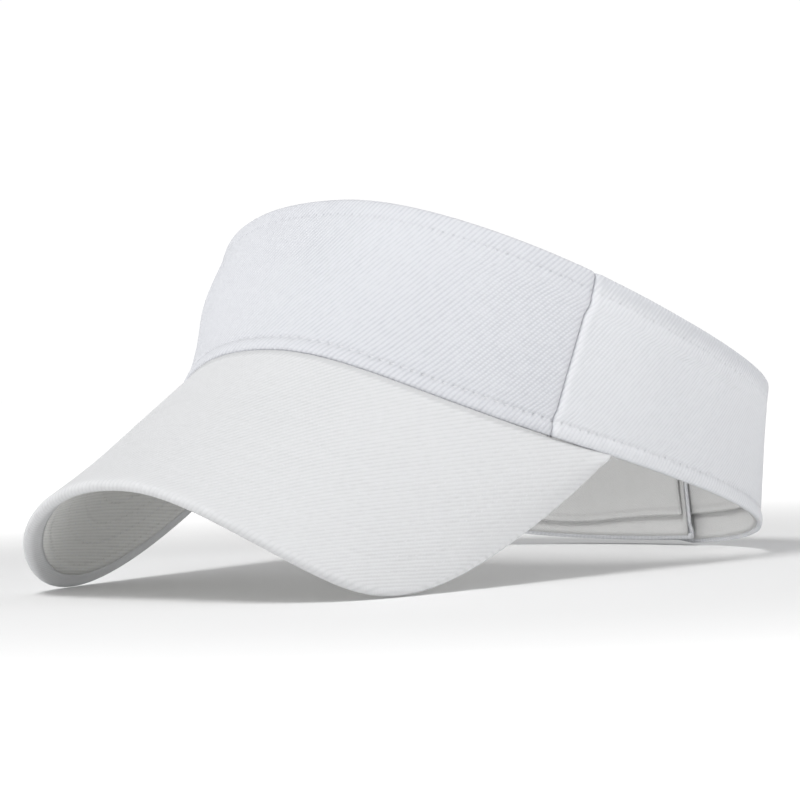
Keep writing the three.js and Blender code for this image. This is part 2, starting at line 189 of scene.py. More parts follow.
@dataclass(frozen=True)
class BrimForm:
    """The brim's surface, ruled outwards from the band's bottom edge. Millimetres."""

    band: BandForm
    spread: float = 79
    length: float = 73.5
    lobe: float = 0.36
    corner: float = 13
    ease: float = 0.18
    slope: float = 33.9
    slope_side: float = -4.4
    fan: float = -0.086
    curl: float = 1.06e-3
    rise: float = 1.2
    shortest: float = 5

    def reach(self, phi: Array) -> Array:
        """Distance from the seam to the free edge."""
        w = np.clip(np.abs(phi) / (self.spread * RAD), 0, 1)
        full = self.length * (1 - w**self.corner) ** self.ease * (1 + self.lobe * w * w)
        return np.maximum(self.shortest, full)

    def surface(self, phi: Array, reach: Array) -> Array:
        """Point of the reference surface, some way out from the seam."""
        slope = (self.slope + self.slope_side * np.sin(phi) ** 2) * RAD
        way = unit(np.stack([self.fan * np.sin(phi), -np.cos(slope), -np.sin(slope)], -1))
        p = self.band.point(phi, self.band.bottom(phi), 0.0) + way * reach[..., None]
        p[..., 2] += self.curl * reach**2
        return p

    def normal(self, phi: Array, reach: Array) -> Array:
        """Upward direction square to the surface."""
        h = 0.02
        across = self.surface(phi + h, reach) - self.surface(phi - h, reach)
        outward = self.surface(phi, reach + 1) - self.surface(phi, reach - 1)
        return unit(np.cross(outward, across))

    def edge_angles(self, count: int) -> Array:
        """Angles of stations spaced evenly along the free edge, tip to tip."""
        s = np.linspace(-1, 1, 6001)
        phi = np.sign(s) * (1 - (1 - np.abs(s)) ** 3) * self.spread * RAD
        p = self.surface(phi, self.reach(phi))
        run = np.concatenate([[0], np.cumsum(np.linalg.norm(np.diff(p, axis=0), axis=1))])
        return np.interp(np.linspace(0, run[-1], count), run, phi)

    def lines(self, count: int) -> tuple[Array, Array]:
        """Angles at the root and at the free edge of the lines across the brim."""
        return np.linspace(-1, 1, count) * self.spread * RAD, self.edge_angles(count)

    def place(self, root: Array, edge: Array, share: Array, over: Array) -> Array:
        """Point a share of the way out along each line, some way over the surface."""
        phi = mix(root, edge, share)
        reach = self.reach(edge) * share
        lift = (over + self.rise * share)[..., None]
        return self.surface(phi, reach) + self.normal(phi, reach) * lift

    def weave(self, root: Array, edge: Array, share: Array) -> Array:
        """Flat-pattern place of each point, in metres: across the brim, and outwards."""
        fine = np.linspace(-1.2, 1.2, 801) * self.spread * RAD
        p = self.band.point(fine, self.band.bottom(fine), 0.0)
        way = np.array([0, -math.cos(self.slope * RAD), -math.sin(self.slope * RAD)])
        flat = p - (p @ way)[:, None] * way
        run = np.concatenate([[0], np.cumsum(np.linalg.norm(np.diff(flat, axis=0), axis=1))])
        phi = mix(root, edge, share)
        across = np.interp(phi, fine, run - run[400])
        outward = np.interp(phi, fine, p @ way) + self.reach(edge) * share
        return np.stack([across, outward], -1) * MM


class From(Enum):
    """What a place on a section is measured from."""

    BOTTOM = "bottom edge, upwards"
    TOP = "top edge, downwards"
    SHARE = "share of the height"


@dataclass(frozen=True)
class Place:
    """One place on a section across the band."""

    base: From
    along: float
    out: float


def up(height: float, out: float) -> Place:
    """Place above the bottom edge."""
    return Place(From.BOTTOM, height, out)


def down(depth: float, out: float) -> Place:
    """Place below the top edge."""
    return Place(From.TOP, depth, out)


def rows(first: float, last: float, count: int, out: float) -> list[Place]:
    """Evenly spaced places at shares of the height."""
    return [Place(From.SHARE, float(s), out) for s in np.linspace(first, last, count)]


# ---- Meshes --------------------------------------------------------------------------------------
def deselect() -> None:
    """Clears the selection."""
    for obj in bpy.context.selected_objects:
        obj.select_set(False)


def pick(obj: bpy.types.Object) -> None:
    """Makes one object the only selected and the active one."""
    deselect()
    obj.select_set(True)
    bpy.context.view_layer.objects.active = obj


def apply_modifiers(obj: bpy.types.Object) -> None:
    """Applies every modifier in order."""
    pick(obj)
    for modifier in list(obj.modifiers):
        bpy.ops.object.modifier_apply(modifier=modifier.name)


def mesh_object(name: str, points: Array, faces: Sequence[Sequence[int]]) -> bpy.types.Object:
    """Makes a smooth-shaded object from points in millimetres."""
    mesh = bpy.data.meshes.new(name)
    mesh.from_pydata((np.asarray(points).reshape(-1, 3) * MM).tolist(), [], faces)
    mesh.update()
    obj = bpy.data.objects.new(name, mesh)
    bpy.context.scene.collection.objects.link(obj)
    mesh.polygons.foreach_set("use_smooth", [True] * len(mesh.polygons))
    return obj


@dataclass
class ClothSheet:
    """A sheet of cloth laid over a grid of points.

    Args:
        name: the piece's name.
        points: grid of points, first along the piece and then across it, in millimetres.
        thickness: the cloth's thickness, in millimetres.
        maps: UV maps by name, each a grid of pairs in metres.
        flip: turn the faces over, where the grid runs the other way round.
    """

    name: str
    points: Array
    thickness: float
    maps: dict[str, Array]
    flip: bool = False

    def build(self) -> bpy.types.Object:
        """Makes the sheet and gives it its thickness."""
        along, across = self.points.shape[:2]
        index = np.arange(along * across).reshape(along, across)
        quads = np.stack([index[:-1, :-1], index[1:, :-1], index[1:, 1:], index[:-1, 1:]], -1)
        quads = quads.reshape(-1, 4)
        if self.flip:
            quads = quads[:, ::-1]
        obj = mesh_object(self.name, self.points, quads.tolist())
        loops = np.empty(len(obj.data.loops), dtype=np.int32)
        obj.data.loops.foreach_get("vertex_index", loops)
        for key, grid in self.maps.items():
            layer = obj.data.uv_layers.new(name=key)
            layer.data.foreach_set("uv", grid.reshape(-1, 2)[loops].astype(np.float32).ravel())
        solid = obj.modifiers.new("thickness", "SOLIDIFY")
        solid.thickness = self.thickness * MM
        solid.offset = 0
        solid.use_even_offset = False
        apply_modifiers(obj)
        return obj


def run_length(points: Array, axis: int) -> Array:
    """Distance along a grid's lines, in millimetres, starting from 0."""
    steps = np.linalg.norm(np.diff(points, axis=axis), axis=-1)
    start = np.zeros_like(np.take(steps, [0], axis=axis))
    return np.concatenate([start, np.cumsum(steps, axis=axis)], axis=axis)


@dataclass
class BandPiece:
    """A strip of cloth that runs round the band.

    Args:
        form: the band's surface.
        name: the piece's name.
        section: places across the strip.
        start: angles of the strip's first end at the bottom and at the top edge, in degrees.
        end: the same for its last end.
        thickness: the cloth's thickness.
        shift: distance outwards by angle.
        trim: narrowing of both edges by angle.
        lift: raising of the strip's low places by angle.
        tuck: how far the two cut ends curl inwards, and over what distance.
        tuck_ends: which of the first and the last end curl.
        ridge: height of the swelling beside a curled end.
        ridge_at: how far from the end, and over what distance, the swelling lies.
        pitch: angle between grid lines, in degrees.
        bend: turning of the flat pattern, in degrees per millimetre of run.
        full_height: height below which the places close up to fit.
        reshape: changes the grid of heights and outward distances by angle.
        ripple: greatest swell of the cloth's unevenness.
    """

    form: BandForm
    name: str
    section: list[Place]
    start: tuple[float, float]
    end: tuple[float, float]
    thickness: float
    shift: Callable[[Array], Array] = lambda a: 0 * a
    trim: Callable[[Array], Array] = lambda a: 0 * a
    lift: Callable[[Array], Array] = lambda a: 0 * a
    tuck: tuple[float, float] = (0.0, 1.5)
    tuck_ends: tuple[bool, bool] = (True, True)
    ridge: float = 0.0
    ridge_at: tuple[float, float] = (2.1, 1.3)
    pitch: float = 1.0
    bend: float = 3 / 95
    full_height: float = 37
    reshape: Callable[[Array, Array, Array], tuple[Array, Array]] | None = None
    ripple: float = 0.0

    def angles(self) -> Array:
        """Angle of every grid point, in degrees."""
        count = int((self.end[0] - self.start[0]) / self.pitch) + 2
        along = np.linspace(0, 1, count)
        distance = (self.end[0] - self.start[0]) * DEGREE_RUN
        if self.tuck[0] > 0:
            inset = np.array([0.15, 0.4, 0.8, 1.3, 1.9]) / distance
            along = np.unique(np.concatenate([along, inset, 1 - inset]))
        share = np.array([
            {From.BOTTOM: 0.0, From.TOP: 1.0}.get(p.base, p.along) for p in self.section
        ])
        first = mix(self.start[0], self.start[1], share)
        last = mix(self.end[0], self.end[1], share)
        return mix(first[None, :], last[None, :], along[:, None])

    def grid(self) -> Array:
        """Points of the strip's middle surface."""
        angle = self.angles()
        phi = angle * RAD
        low, high = self.form.bottom(phi), self.form.top(phi)
        trim = self.trim(angle)
        low, high = low + trim, high - trim
        height = np.empty_like(phi)
        out = np.empty_like(phi)
        squeeze = np.minimum(1, (high - low) / self.full_height)
        for k, place in enumerate(self.section):
            out[:, k] = place.out
            step = place.along * squeeze[:, k]
            if place.base is From.BOTTOM:
                height[:, k] = low[:, k] + step + self.lift(angle[:, k])
            elif place.base is From.TOP:
                height[:, k] = high[:, k] - step
            else:
                height[:, k] = mix(low[:, k], high[:, k], place.along)
        if self.reshape:
            height, out = self.reshape(angle, height, out)
        out = out + self.shift(angle)
        out = out + self.ripple * self.form.ripple(phi, height)
        grid = self.form.point(phi, height, out)
        if self.tuck[0] > 0:
            run = run_length(grid, 0)
            near = np.full_like(run, FAR)
            if self.tuck_ends[0]:
                near = np.minimum(near, run)
            if self.tuck_ends[1]:
                near = np.minimum(near, run[-1:] - run)
            fall = np.clip(1 - near / self.tuck[1], 0, 1)
            drop = self.tuck[0] * (1 - np.sqrt(1 - np.minimum(fall, 0.999) ** 2))
            at, reach = self.ridge_at
            drop = drop - self.ridge * np.exp(-(((near - at) / reach) ** 2))
            grid = self.form.point(phi, height, out - drop)
        return grid

    def maps(self, grid: Array, foot: int, crest: int) -> dict[str, Array]:
        """UV maps: the flat pattern for the weave, and distances from the two edges.

        Args:
            grid: the strip's points.
            foot: section place that lies on the bottom edge.
            crest: section place that lies on the top edge.

        Returns:
            The maps, in metres.
        """
        along = run_length(grid, 0)
        middle = along[:, along.shape[1] // 3: along.shape[1] // 3 + 1]
        angle = self.angles()[:, :1] * RAD
        if angle[0, 0] < 0 < angle[-1, 0]:
            middle = middle - np.interp(0, angle[:, 0], middle[:, 0])
        across = run_length(grid, 1)
        rise = across - across[:, foot: foot + 1]
        turn = -self.bend * middle * RAD
        p = np.cumsum(np.diff(middle, axis=0, prepend=middle[:1]) * np.cos(turn), axis=0)
        q = np.cumsum(np.diff(middle, axis=0, prepend=middle[:1]) * np.sin(turn), axis=0)
        p = p - np.interp(0, middle[:, 0], p[:, 0])
        q = q - np.interp(0, middle[:, 0], q[:, 0])
        weave = np.stack([p - rise * np.sin(turn), q + rise * np.cos(turn)], -1)
        spread = np.broadcast_to(middle, rise.shape)
        fall = across[:, crest: crest + 1] - across
        near = np.minimum(
            along if self.tuck_ends[0] else FAR + 0 * along,
            along[-1:] - along if self.tuck_ends[1] else FAR + 0 * along,
        )
        return {
            "weave": weave * MM,
            "run": np.stack([spread, rise], -1) * MM,
            "rim": np.stack([spread, fall], -1) * MM,
            "ends": np.stack([rise, near], -1) * MM,
        }

    def build(self, foot: int = 0, crest: int = -1) -> bpy.types.Object:
        """Makes the strip."""
        grid = self.grid()
        maps = self.maps(grid, foot, crest % grid.shape[1])
        return ClothSheet(self.name, grid, self.thickness, maps).build()


@dataclass
class StitchRun:
    """A row of lockstitches laid along a path.

    Args:
        pitch: distance between stitches.
        length: length of the thread that shows.
        width: thickness of the thread.
        proud: how far the thread stands over the path.
        slant: angle between a stitch and its row, in degrees.
    """

    pitch: float = 3.2
    length: float = 2.4
    width: float = 0.36
    proud: float = 0.0
    slant: float = 9

    def template(self) -> tuple[Array, list[tuple[int, ...]]]:
        """One stitch: a short thread that dips into the cloth at both ends."""
        deselect()
        bpy.ops.mesh.primitive_uv_sphere_add(segments=6, ring_count=5, radius=0.5)
        obj = bpy.context.object
        points = np.array([v.co[:] for v in obj.data.vertices])[:, [2, 0, 1]]
        faces = [tuple(p.vertices) for p in obj.data.polygons]
        bpy.data.objects.remove(obj)
        points = points * [self.length, self.width, self.width * 0.8]
        points[:, 2] -= 0.55 * self.width * (2 * points[:, 0] / self.length) ** 4
        return points, faces

    def build(self, name: str, paths: list[tuple[Array, Array]]) -> bpy.types.Object:
        """Lays stitches along every path.

        Args:
            name: the piece's name.
            paths: for each path its points and the outward directions there.

        Returns:
            One object that holds all the stitches.
        """
        shape, faces = self.template()
        all_points, all_faces, base = [], [], 0
        for points, normals in paths:
            run = run_length(points, 0)
            centres = np.arange(self.pitch * 0.5, run[-1] - self.pitch * 0.3, self.pitch)
            at = np.stack([np.interp(centres, run, points[:, k]) for k in range(3)], -1)
            ahead, back = (
                np.stack([np.interp(centres + step, run, points[:, k]) for k in range(3)], -1)
                for step in (0.4, -0.4)
            )
            n = unit(np.stack([np.interp(centres, run, normals[:, k]) for k in range(3)], -1))
            t = unit(ahead - back)
            s = unit(np.cross(n, t))
            turn = self.slant * RAD
            t, s = t * math.cos(turn) + s * math.sin(turn), s * math.cos(turn) - t * math.sin(turn)
            placed = (
                at[:, None] + shape[None, :, :1] * t[:, None] + shape[None, :, 1:2] * s[:, None]
                + (shape[None, :, 2:] + self.proud) * n[:, None]
            )
            for block in placed:
                all_points.append(block)
                all_faces += [tuple(i + base for i in f) for f in faces]
                base += len(block)
        return mesh_object(name, np.concatenate(all_points), all_faces)


# ---- Shader parts --------------------------------------------------------------------------------
class Graph:
    """Adds and joins nodes in a material or a node group."""

    def __init__(self, tree: bpy.types.NodeTree) -> None:
        """Keeps the tree that nodes go into."""
        self.tree = tree

    def node(self, kind: str, **inputs: object) -> bpy.types.Node:
        """Adds a node; names that start with _ set its properties, others its inputs."""
        node = self.tree.nodes.new(kind)
        for key, value in inputs.items():
            if key.startswith("_"):
                setattr(node, key[1:], value)
        for key, value in inputs.items():
            if not key.startswith("_"):
                self.feed(node.inputs[key.replace("_", " ")], value)
        return node

    def feed(self, socket: Socket, value: object) -> None:
        """Links a socket or sets its value."""
        if isinstance(value, Socket):
            self.tree.links.new(value, socket)
        else:
            socket.default_value = value

    def math(self, operation: str, *values: object) -> Socket:
        """Adds a Math node."""
        node = self.tree.nodes.new("ShaderNodeMath")
        node.operation = operation
        for socket, value in zip(node.inputs, values):
            self.feed(socket, value)
        return node.outputs[0]

    def fade(
        self, value: object, low: float, high: float, to: tuple[float, float] = (0.0, 1.0),
    ) -> Socket:
        """Smooth step of a value between two limits."""
        node = self.tree.nodes.new("ShaderNodeMapRange")
        node.interpolation_type = "SMOOTHSTEP"
        limits = {"From Min": low, "From Max": high, "To Min": to[0], "To Max": to[1]}
        for key, item in {"Value": value, **limits}.items():
            self.feed(node.inputs[key], item)
        return node.outputs["Result"]


def new_group(
    name: str, takes: dict[str, tuple[str, float]], gives: Sequence[str],
) -> tuple[Graph, bpy.types.Node, bpy.types.Node]:
    """Starts a node group with named inputs and outputs.

    Args:
        name: the group's name.
        takes: kind and default value of each input.
        gives: names of the outputs.

    Returns:
        The graph, its input node and its output node.
    """
    tree = bpy.data.node_groups.new(name, "ShaderNodeTree")
    for key, (kind, value) in takes.items():
        socket = tree.interface.new_socket(key, in_out="INPUT", socket_type=kind)
        if kind == "NodeSocketFloat":
            socket.default_value = value
    for key in gives:
        tree.interface.new_socket(key, in_out="OUTPUT", socket_type="NodeSocketFloat")
    graph = Graph(tree)
    return graph, tree.nodes.new("NodeGroupInput"), tree.nodes.new("NodeGroupOutput")


def twill_group() -> bpy.types.NodeTree:
    """Diagonal ribs made of short yarn floats."""
    takes = {
        "Flat": ("NodeSocketVector", 0), "Rib Turn": ("NodeSocketFloat", 0.8),
        "Rib Pitch": ("NodeSocketFloat", 0.0015), "Yarn Pitch": ("NodeSocketFloat", 0.0009),
    }
    g, source, sink = new_group("twill_weave", takes, ["Height", "Tone"])
    slow = g.node("ShaderNodeTexNoise", Vector=source.outputs["Flat"], Scale=55.0, Detail=2.0)
    wobble = g.math("MULTIPLY", g.math("SUBTRACT", slow.outputs["Fac"], 0.5), 0.25)
    turned = g.node(
        "ShaderNodeVectorRotate", _rotation_type="Z_AXIS", Vector=source.outputs["Flat"],
        Angle=g.math("MULTIPLY", source.outputs["Rib Turn"], -1.0),
    )
    xyz = g.node("ShaderNodeSeparateXYZ", Vector=turned.outputs[0])
    across = g.math("ADD", g.math("DIVIDE", xyz.outputs["Y"], source.outputs["Rib Pitch"]), wobble)
    along = g.math("DIVIDE", xyz.outputs["X"], source.outputs["Yarn Pitch"])
    rib = g.math("MULTIPLY_ADD", g.math("COSINE", g.math("MULTIPLY", across, ONE_TURN)), 0.5, 0.5)
    float_turn = g.math("MULTIPLY", g.math("MULTIPLY_ADD", across, 0.5, along), ONE_TURN)
    yarn = g.math("MULTIPLY_ADD", g.math("COSINE", float_turn), 0.5, 0.5)
    fuzz = g.node("ShaderNodeTexNoise", Vector=source.outputs["Flat"], Scale=2600.0, Detail=3.0)
    height = g.math(
        "ADD",
        g.math("MULTIPLY", rib, g.math("MULTIPLY_ADD", yarn, 0.3, 0.7)),
        g.math("MULTIPLY", fuzz.outputs["Fac"], 0.35),
    )
    patch = g.node("ShaderNodeTexNoise", Vector=source.outputs["Flat"], Scale=420.0, Detail=2.0)
    patchy = g.math("MULTIPLY", patch.outputs["Fac"], 0.6)
    # Painted shade: the tone follows the ribs' height, so the colour darkens between the ribs; the
    # patchy part is random.
    tone = g.math("ADD", g.math("MULTIPLY", rib, 0.7), patchy)
    g.feed(sink.inputs["Height"], height)
    g.feed(sink.inputs["Tone"], tone)
    return g.tree


def plain_group() -> bpy.types.NodeTree:
    """Plain over-and-under weave."""
    takes = {"Flat": ("NodeSocketVector", 0), "Yarn Pitch": ("NodeSocketFloat", 0.0006)}
    g, source, sink = new_group("plain_weave", takes, ["Height", "Tone"])
    xyz = g.node("ShaderNodeSeparateXYZ", Vector=source.outputs["Flat"])
    waves = []
    for axis in ("X", "Y"):
        yarns = g.math("DIVIDE", xyz.outputs[axis], source.outputs["Yarn Pitch"])
        waves.append(g.math("SINE", g.math("MULTIPLY", yarns, ONE_TURN)))
    over = g.math("MULTIPLY", waves[0], waves[1])
    fuzz = g.node("ShaderNodeTexNoise", Vector=source.outputs["Flat"], Scale=1800.0, Detail=3.0)
    g.feed(sink.inputs["Height"], g.math("MULTIPLY_ADD", over, 0.3, fuzz.outputs["Fac"]))
    # Painted shade: the tone follows the over-and-under height, so the colour darkens where a yarn
    # dips.
    g.feed(sink.inputs["Tone"], g.math("MULTIPLY_ADD", over, 0.2, fuzz.outputs["Fac"]))
    return g.tree


def seam_group() -> bpy.types.NodeTree:
    """Channel that a row of stitches draws into the cloth, with needle holes."""
    takes = {
        "Along": ("NodeSocketFloat", 0), "Distance": ("NodeSocketFloat", 0),
        "Stitch": ("NodeSocketFloat", 0.0032), "Width": ("NodeSocketFloat", 0.0014),
    }
    g, source, sink = new_group("stitch_channel", takes, ["Channel", "Hole"])
    gap = g.math("ABSOLUTE", source.outputs["Distance"])
    channel = g.fade(g.math("DIVIDE", gap, source.outputs["Width"]), 0.0, 1.0, (1.0, 0.0))
    phase = g.math("DIVIDE", source.outputs["Along"], source.outputs["Stitch"])
    beat = g.math("MULTIPLY_ADD", g.math("COSINE", g.math("MULTIPLY", phase, ONE_TURN)), 0.5, 0.5)
    narrow = g.fade(g.math("DIVIDE", gap, source.outputs["Width"]), 0.1, 0.45, (1.0, 0.0))
    g.feed(sink.inputs["Channel"], channel)
    g.feed(sink.inputs["Hole"], g.math("MULTIPLY", narrow, g.fade(beat, 0.82, 0.97)))
    return g.tree


def tone_group() -> bpy.types.NodeTree:
    """Faint unevenness of washed cloth: broad shade changes and a few slubs."""
    takes = {"Place": ("NodeSocketVector", 0)}
    g, source, sink = new_group("cloth_unevenness", takes, ["Shade", "Pucker"])
    broad = g.node("ShaderNodeTexNoise", Vector=source.outputs["Place"], Scale=24.0, Detail=2.0)
    slub = g.node("ShaderNodeTexNoise", Vector=source.outputs["Place"], Scale=160.0, Detail=2.0)
    shade = g.math("MULTIPLY_ADD", slub.outputs["Fac"], 0.35, broad.outputs["Fac"])
    g.feed(sink.inputs["Shade"], shade)
    g.feed(sink.inputs["Pucker"], g.math("MULTIPLY", broad.outputs["Fac"], slub.outputs["Fac"]))
    return g.tree


@dataclass(frozen=True)
class SeamLine:
    """A row of stitches that shows in the cloth.

    Args:
        map: UV map whose V gives the distance.
        at: distance of the row, in metres.
        repeat: distance between repeated rows, 0 for one row.
        last: distance of the last repeated row.
        stitch: length of a stitch, in metres.
        width: half width of the channel, in metres.
        depth: how deep the channel is drawn in.
        shade: painted shade in the channel, how much darker it is than the cloth; below 0 it is a
            painted highlight, lighter than the cloth.
        hole: how deep the needle holes are, and how much painted shade darkens them.
    """

    map: str
    at: float
    repeat: float = 0.0
    last: float = 0.0
    stitch: float = 0.0032
    width: float = 0.0014
    depth: float = 0.5
    shade: float = 0.1
    hole: float = 0.2


@dataclass(frozen=True)
class ClothFinish:
    """Woven cotton finish.

    Args:
        name: the material's name.
        light: colour on top of the yarns and ribs, where the weave's painted shading is lightest.
        dark: colour between the yarns and ribs: painted shade of the weave's relief.
        rib_turn: direction of the twill ribs, degrees from the run of the cloth.
        rib_pitch: distance between ribs, in metres; 0 gives a plain weave.
        yarn_pitch: distance between yarns, in metres.
        relief: height of the weave, in metres.
        sheen: strength of the soft sheen.
        seams: rows of stitches that draw the cloth in, and bands of painted shade and painted
            highlight laid out like rows.
    """

    name: str
    light: tuple[float, float, float]
    dark: tuple[float, float, float]
    rib_turn: float = 45
    rib_pitch: float = 0.0
    yarn_pitch: float = 0.0007
    relief: float = 0.00012
    sheen: float = 0.12
    seams: tuple[SeamLine, ...] = ()

    def material(self, groups: dict[str, bpy.types.NodeTree]) -> bpy.types.Material:
        """Makes the material."""
        material = bpy.data.materials.new(self.name)
        material.use_nodes = True
        g = Graph(material.node_tree)
        shader = material.node_tree.nodes["Principled BSDF"]
        shader.inputs["Roughness"].default_value = 0.92
        shader.inputs["Sheen Weight"].default_value = self.sheen
        shader.inputs["Sheen Roughness"].default_value = 0.6
        shader.inputs["Specular IOR Level"].default_value = 0.22
        flat = g.node("ShaderNodeUVMap", _uv_map="weave").outputs["UV"]
        if self.rib_pitch:
            weave = g.node("ShaderNodeGroup", _node_tree=groups["twill"])
            for key, value in (("Rib Turn", self.rib_turn * RAD), ("Rib Pitch", self.rib_pitch)):
                weave.inputs[key].default_value = value
        else:
            weave = g.node("ShaderNodeGroup", _node_tree=groups["plain"])
        weave.inputs["Yarn Pitch"].default_value = self.yarn_pitch
        g.feed(weave.inputs["Flat"], flat)
        uneven = g.node("ShaderNodeGroup", _node_tree=groups["tone"])
        place = g.node("ShaderNodeTexCoord").outputs["Object"]
        g.feed(uneven.inputs["Place"], place)
        height = g.math("MULTIPLY", weave.outputs["Height"], self.relief)
        height = g.math("MULTIPLY_ADD", uneven.outputs["Pucker"], PUCKER_DEPTH, height)
        tone = g.math("MULTIPLY", weave.outputs["Tone"], 0.8)
        tone = g.math("MULTIPLY_ADD", uneven.outputs["Shade"], 0.45, tone)
        for seam in self.seams:
            channel, hole = self.sew(g, groups["seam"], seam)
            height = g.math("MULTIPLY_ADD", channel, -CHANNEL_DEPTH * seam.depth, height)
            height = g.math("MULTIPLY_ADD", hole, -HOLE_DEPTH * seam.hole, height)
            # Painted shade: each stitch channel and needle hole darkens the colour; a negative
            # shade paints a highlight.
            tone = g.math("SUBTRACT", tone, g.math("MULTIPLY", hole, seam.hole * 1.4))
            tone = g.math("SUBTRACT", tone, g.math("MULTIPLY", channel, seam.shade))
        bump = g.node("ShaderNodeBump", Height=height, Strength=1.0, Distance=1.0)
        colour = g.node("ShaderNodeMix", _data_type="RGBA")
        g.feed(colour.inputs[0], g.fade(tone, 0.1, 1.0))
        g.feed(colour.inputs[6], (*self.dark, 1))
        g.feed(colour.inputs[7], (*self.light, 1))
        g.feed(shader.inputs["Base Color"], colour.outputs[2])
        g.feed(shader.inputs["Normal"], bump.outputs["Normal"])
        return material

    @staticmethod
    def sew(g: Graph, group: bpy.types.NodeTree, seam: SeamLine) -> tuple[Socket, Socket]:
        """Adds one row, or a family of rows, of stitches."""
        flat = g.node("ShaderNodeUVMap", _uv_map=seam.map).outputs["UV"]
        run = g.node("ShaderNodeSeparateXYZ", Vector=flat)
        distance = g.math("SUBTRACT", run.outputs["Y"], seam.at)
        if seam.repeat:
            rows_in = g.math("DIVIDE", distance, seam.repeat)
            last_row = (seam.last - seam.at) / seam.repeat
            nearest = g.math("MINIMUM", g.math("ROUND", rows_in), last_row)
            nearest = g.math("MAXIMUM", nearest, 0.0)
            distance = g.math("MULTIPLY", g.math("SUBTRACT", rows_in, nearest), seam.repeat)
        node = g.node("ShaderNodeGroup", _node_tree=group)
        node.inputs["Stitch"].default_value = seam.stitch
        node.inputs["Width"].default_value = seam.width
        g.feed(node.inputs["Along"], run.outputs["X"])
        g.feed(node.inputs["Distance"], distance)
        return node.outputs["Channel"], node.outputs["Hole"]


@dataclass(frozen=True)
class GrainFinish:
    """Finish of thread, plastic or nylon: a fine grain on Object coordinates.

    Args:
        name: the material's name.
        light: colour of the lighter grains.
        dark: colour of the darker grains.
        roughness: how matt the surface is.
        scale: fineness of the grain.
        relief: height of the grain, in metres.
    """

    name: str
    light: tuple[float, float, float]
    dark: tuple[float, float, float]
    roughness: float = 0.7
    scale: float = 900
    relief: float = 0.00006

    def material(self, groups: dict[str, bpy.types.NodeTree]) -> bpy.types.Material:
        """Makes the material."""
        material = bpy.data.materials.new(self.name)
        material.use_nodes = True
        g = Graph(material.node_tree)
        shader = material.node_tree.nodes["Principled BSDF"]
        shader.inputs["Roughness"].default_value = self.roughness
        place = g.node("ShaderNodeTexCoord").outputs["Object"]
        grain = g.node("ShaderNodeTexNoise", Vector=place, Scale=self.scale, Detail=3.0)
        uneven = g.node("ShaderNodeGroup", _node_tree=groups["tone"])
        g.feed(uneven.inputs["Place"], place)
        tone = g.math("MULTIPLY_ADD", uneven.outputs["Shade"], 0.5, grain.outputs["Fac"])
        colour = g.node("ShaderNodeMix", _data_type="RGBA")
        g.feed(colour.inputs[0], g.fade(tone, 0.4, 1.1))
        g.feed(colour.inputs[6], (*self.dark, 1))
        g.feed(colour.inputs[7], (*self.light, 1))
        g.feed(shader.inputs["Base Color"], colour.outputs[2])
        bump = g.node(
            "ShaderNodeBump", Height=g.math("MULTIPLY", grain.outputs["Fac"], self.relief),
            Strength=1.0, Distance=1.0,
        )
        g.feed(shader.inputs["Normal"], bump.outputs["Normal"])
        return material


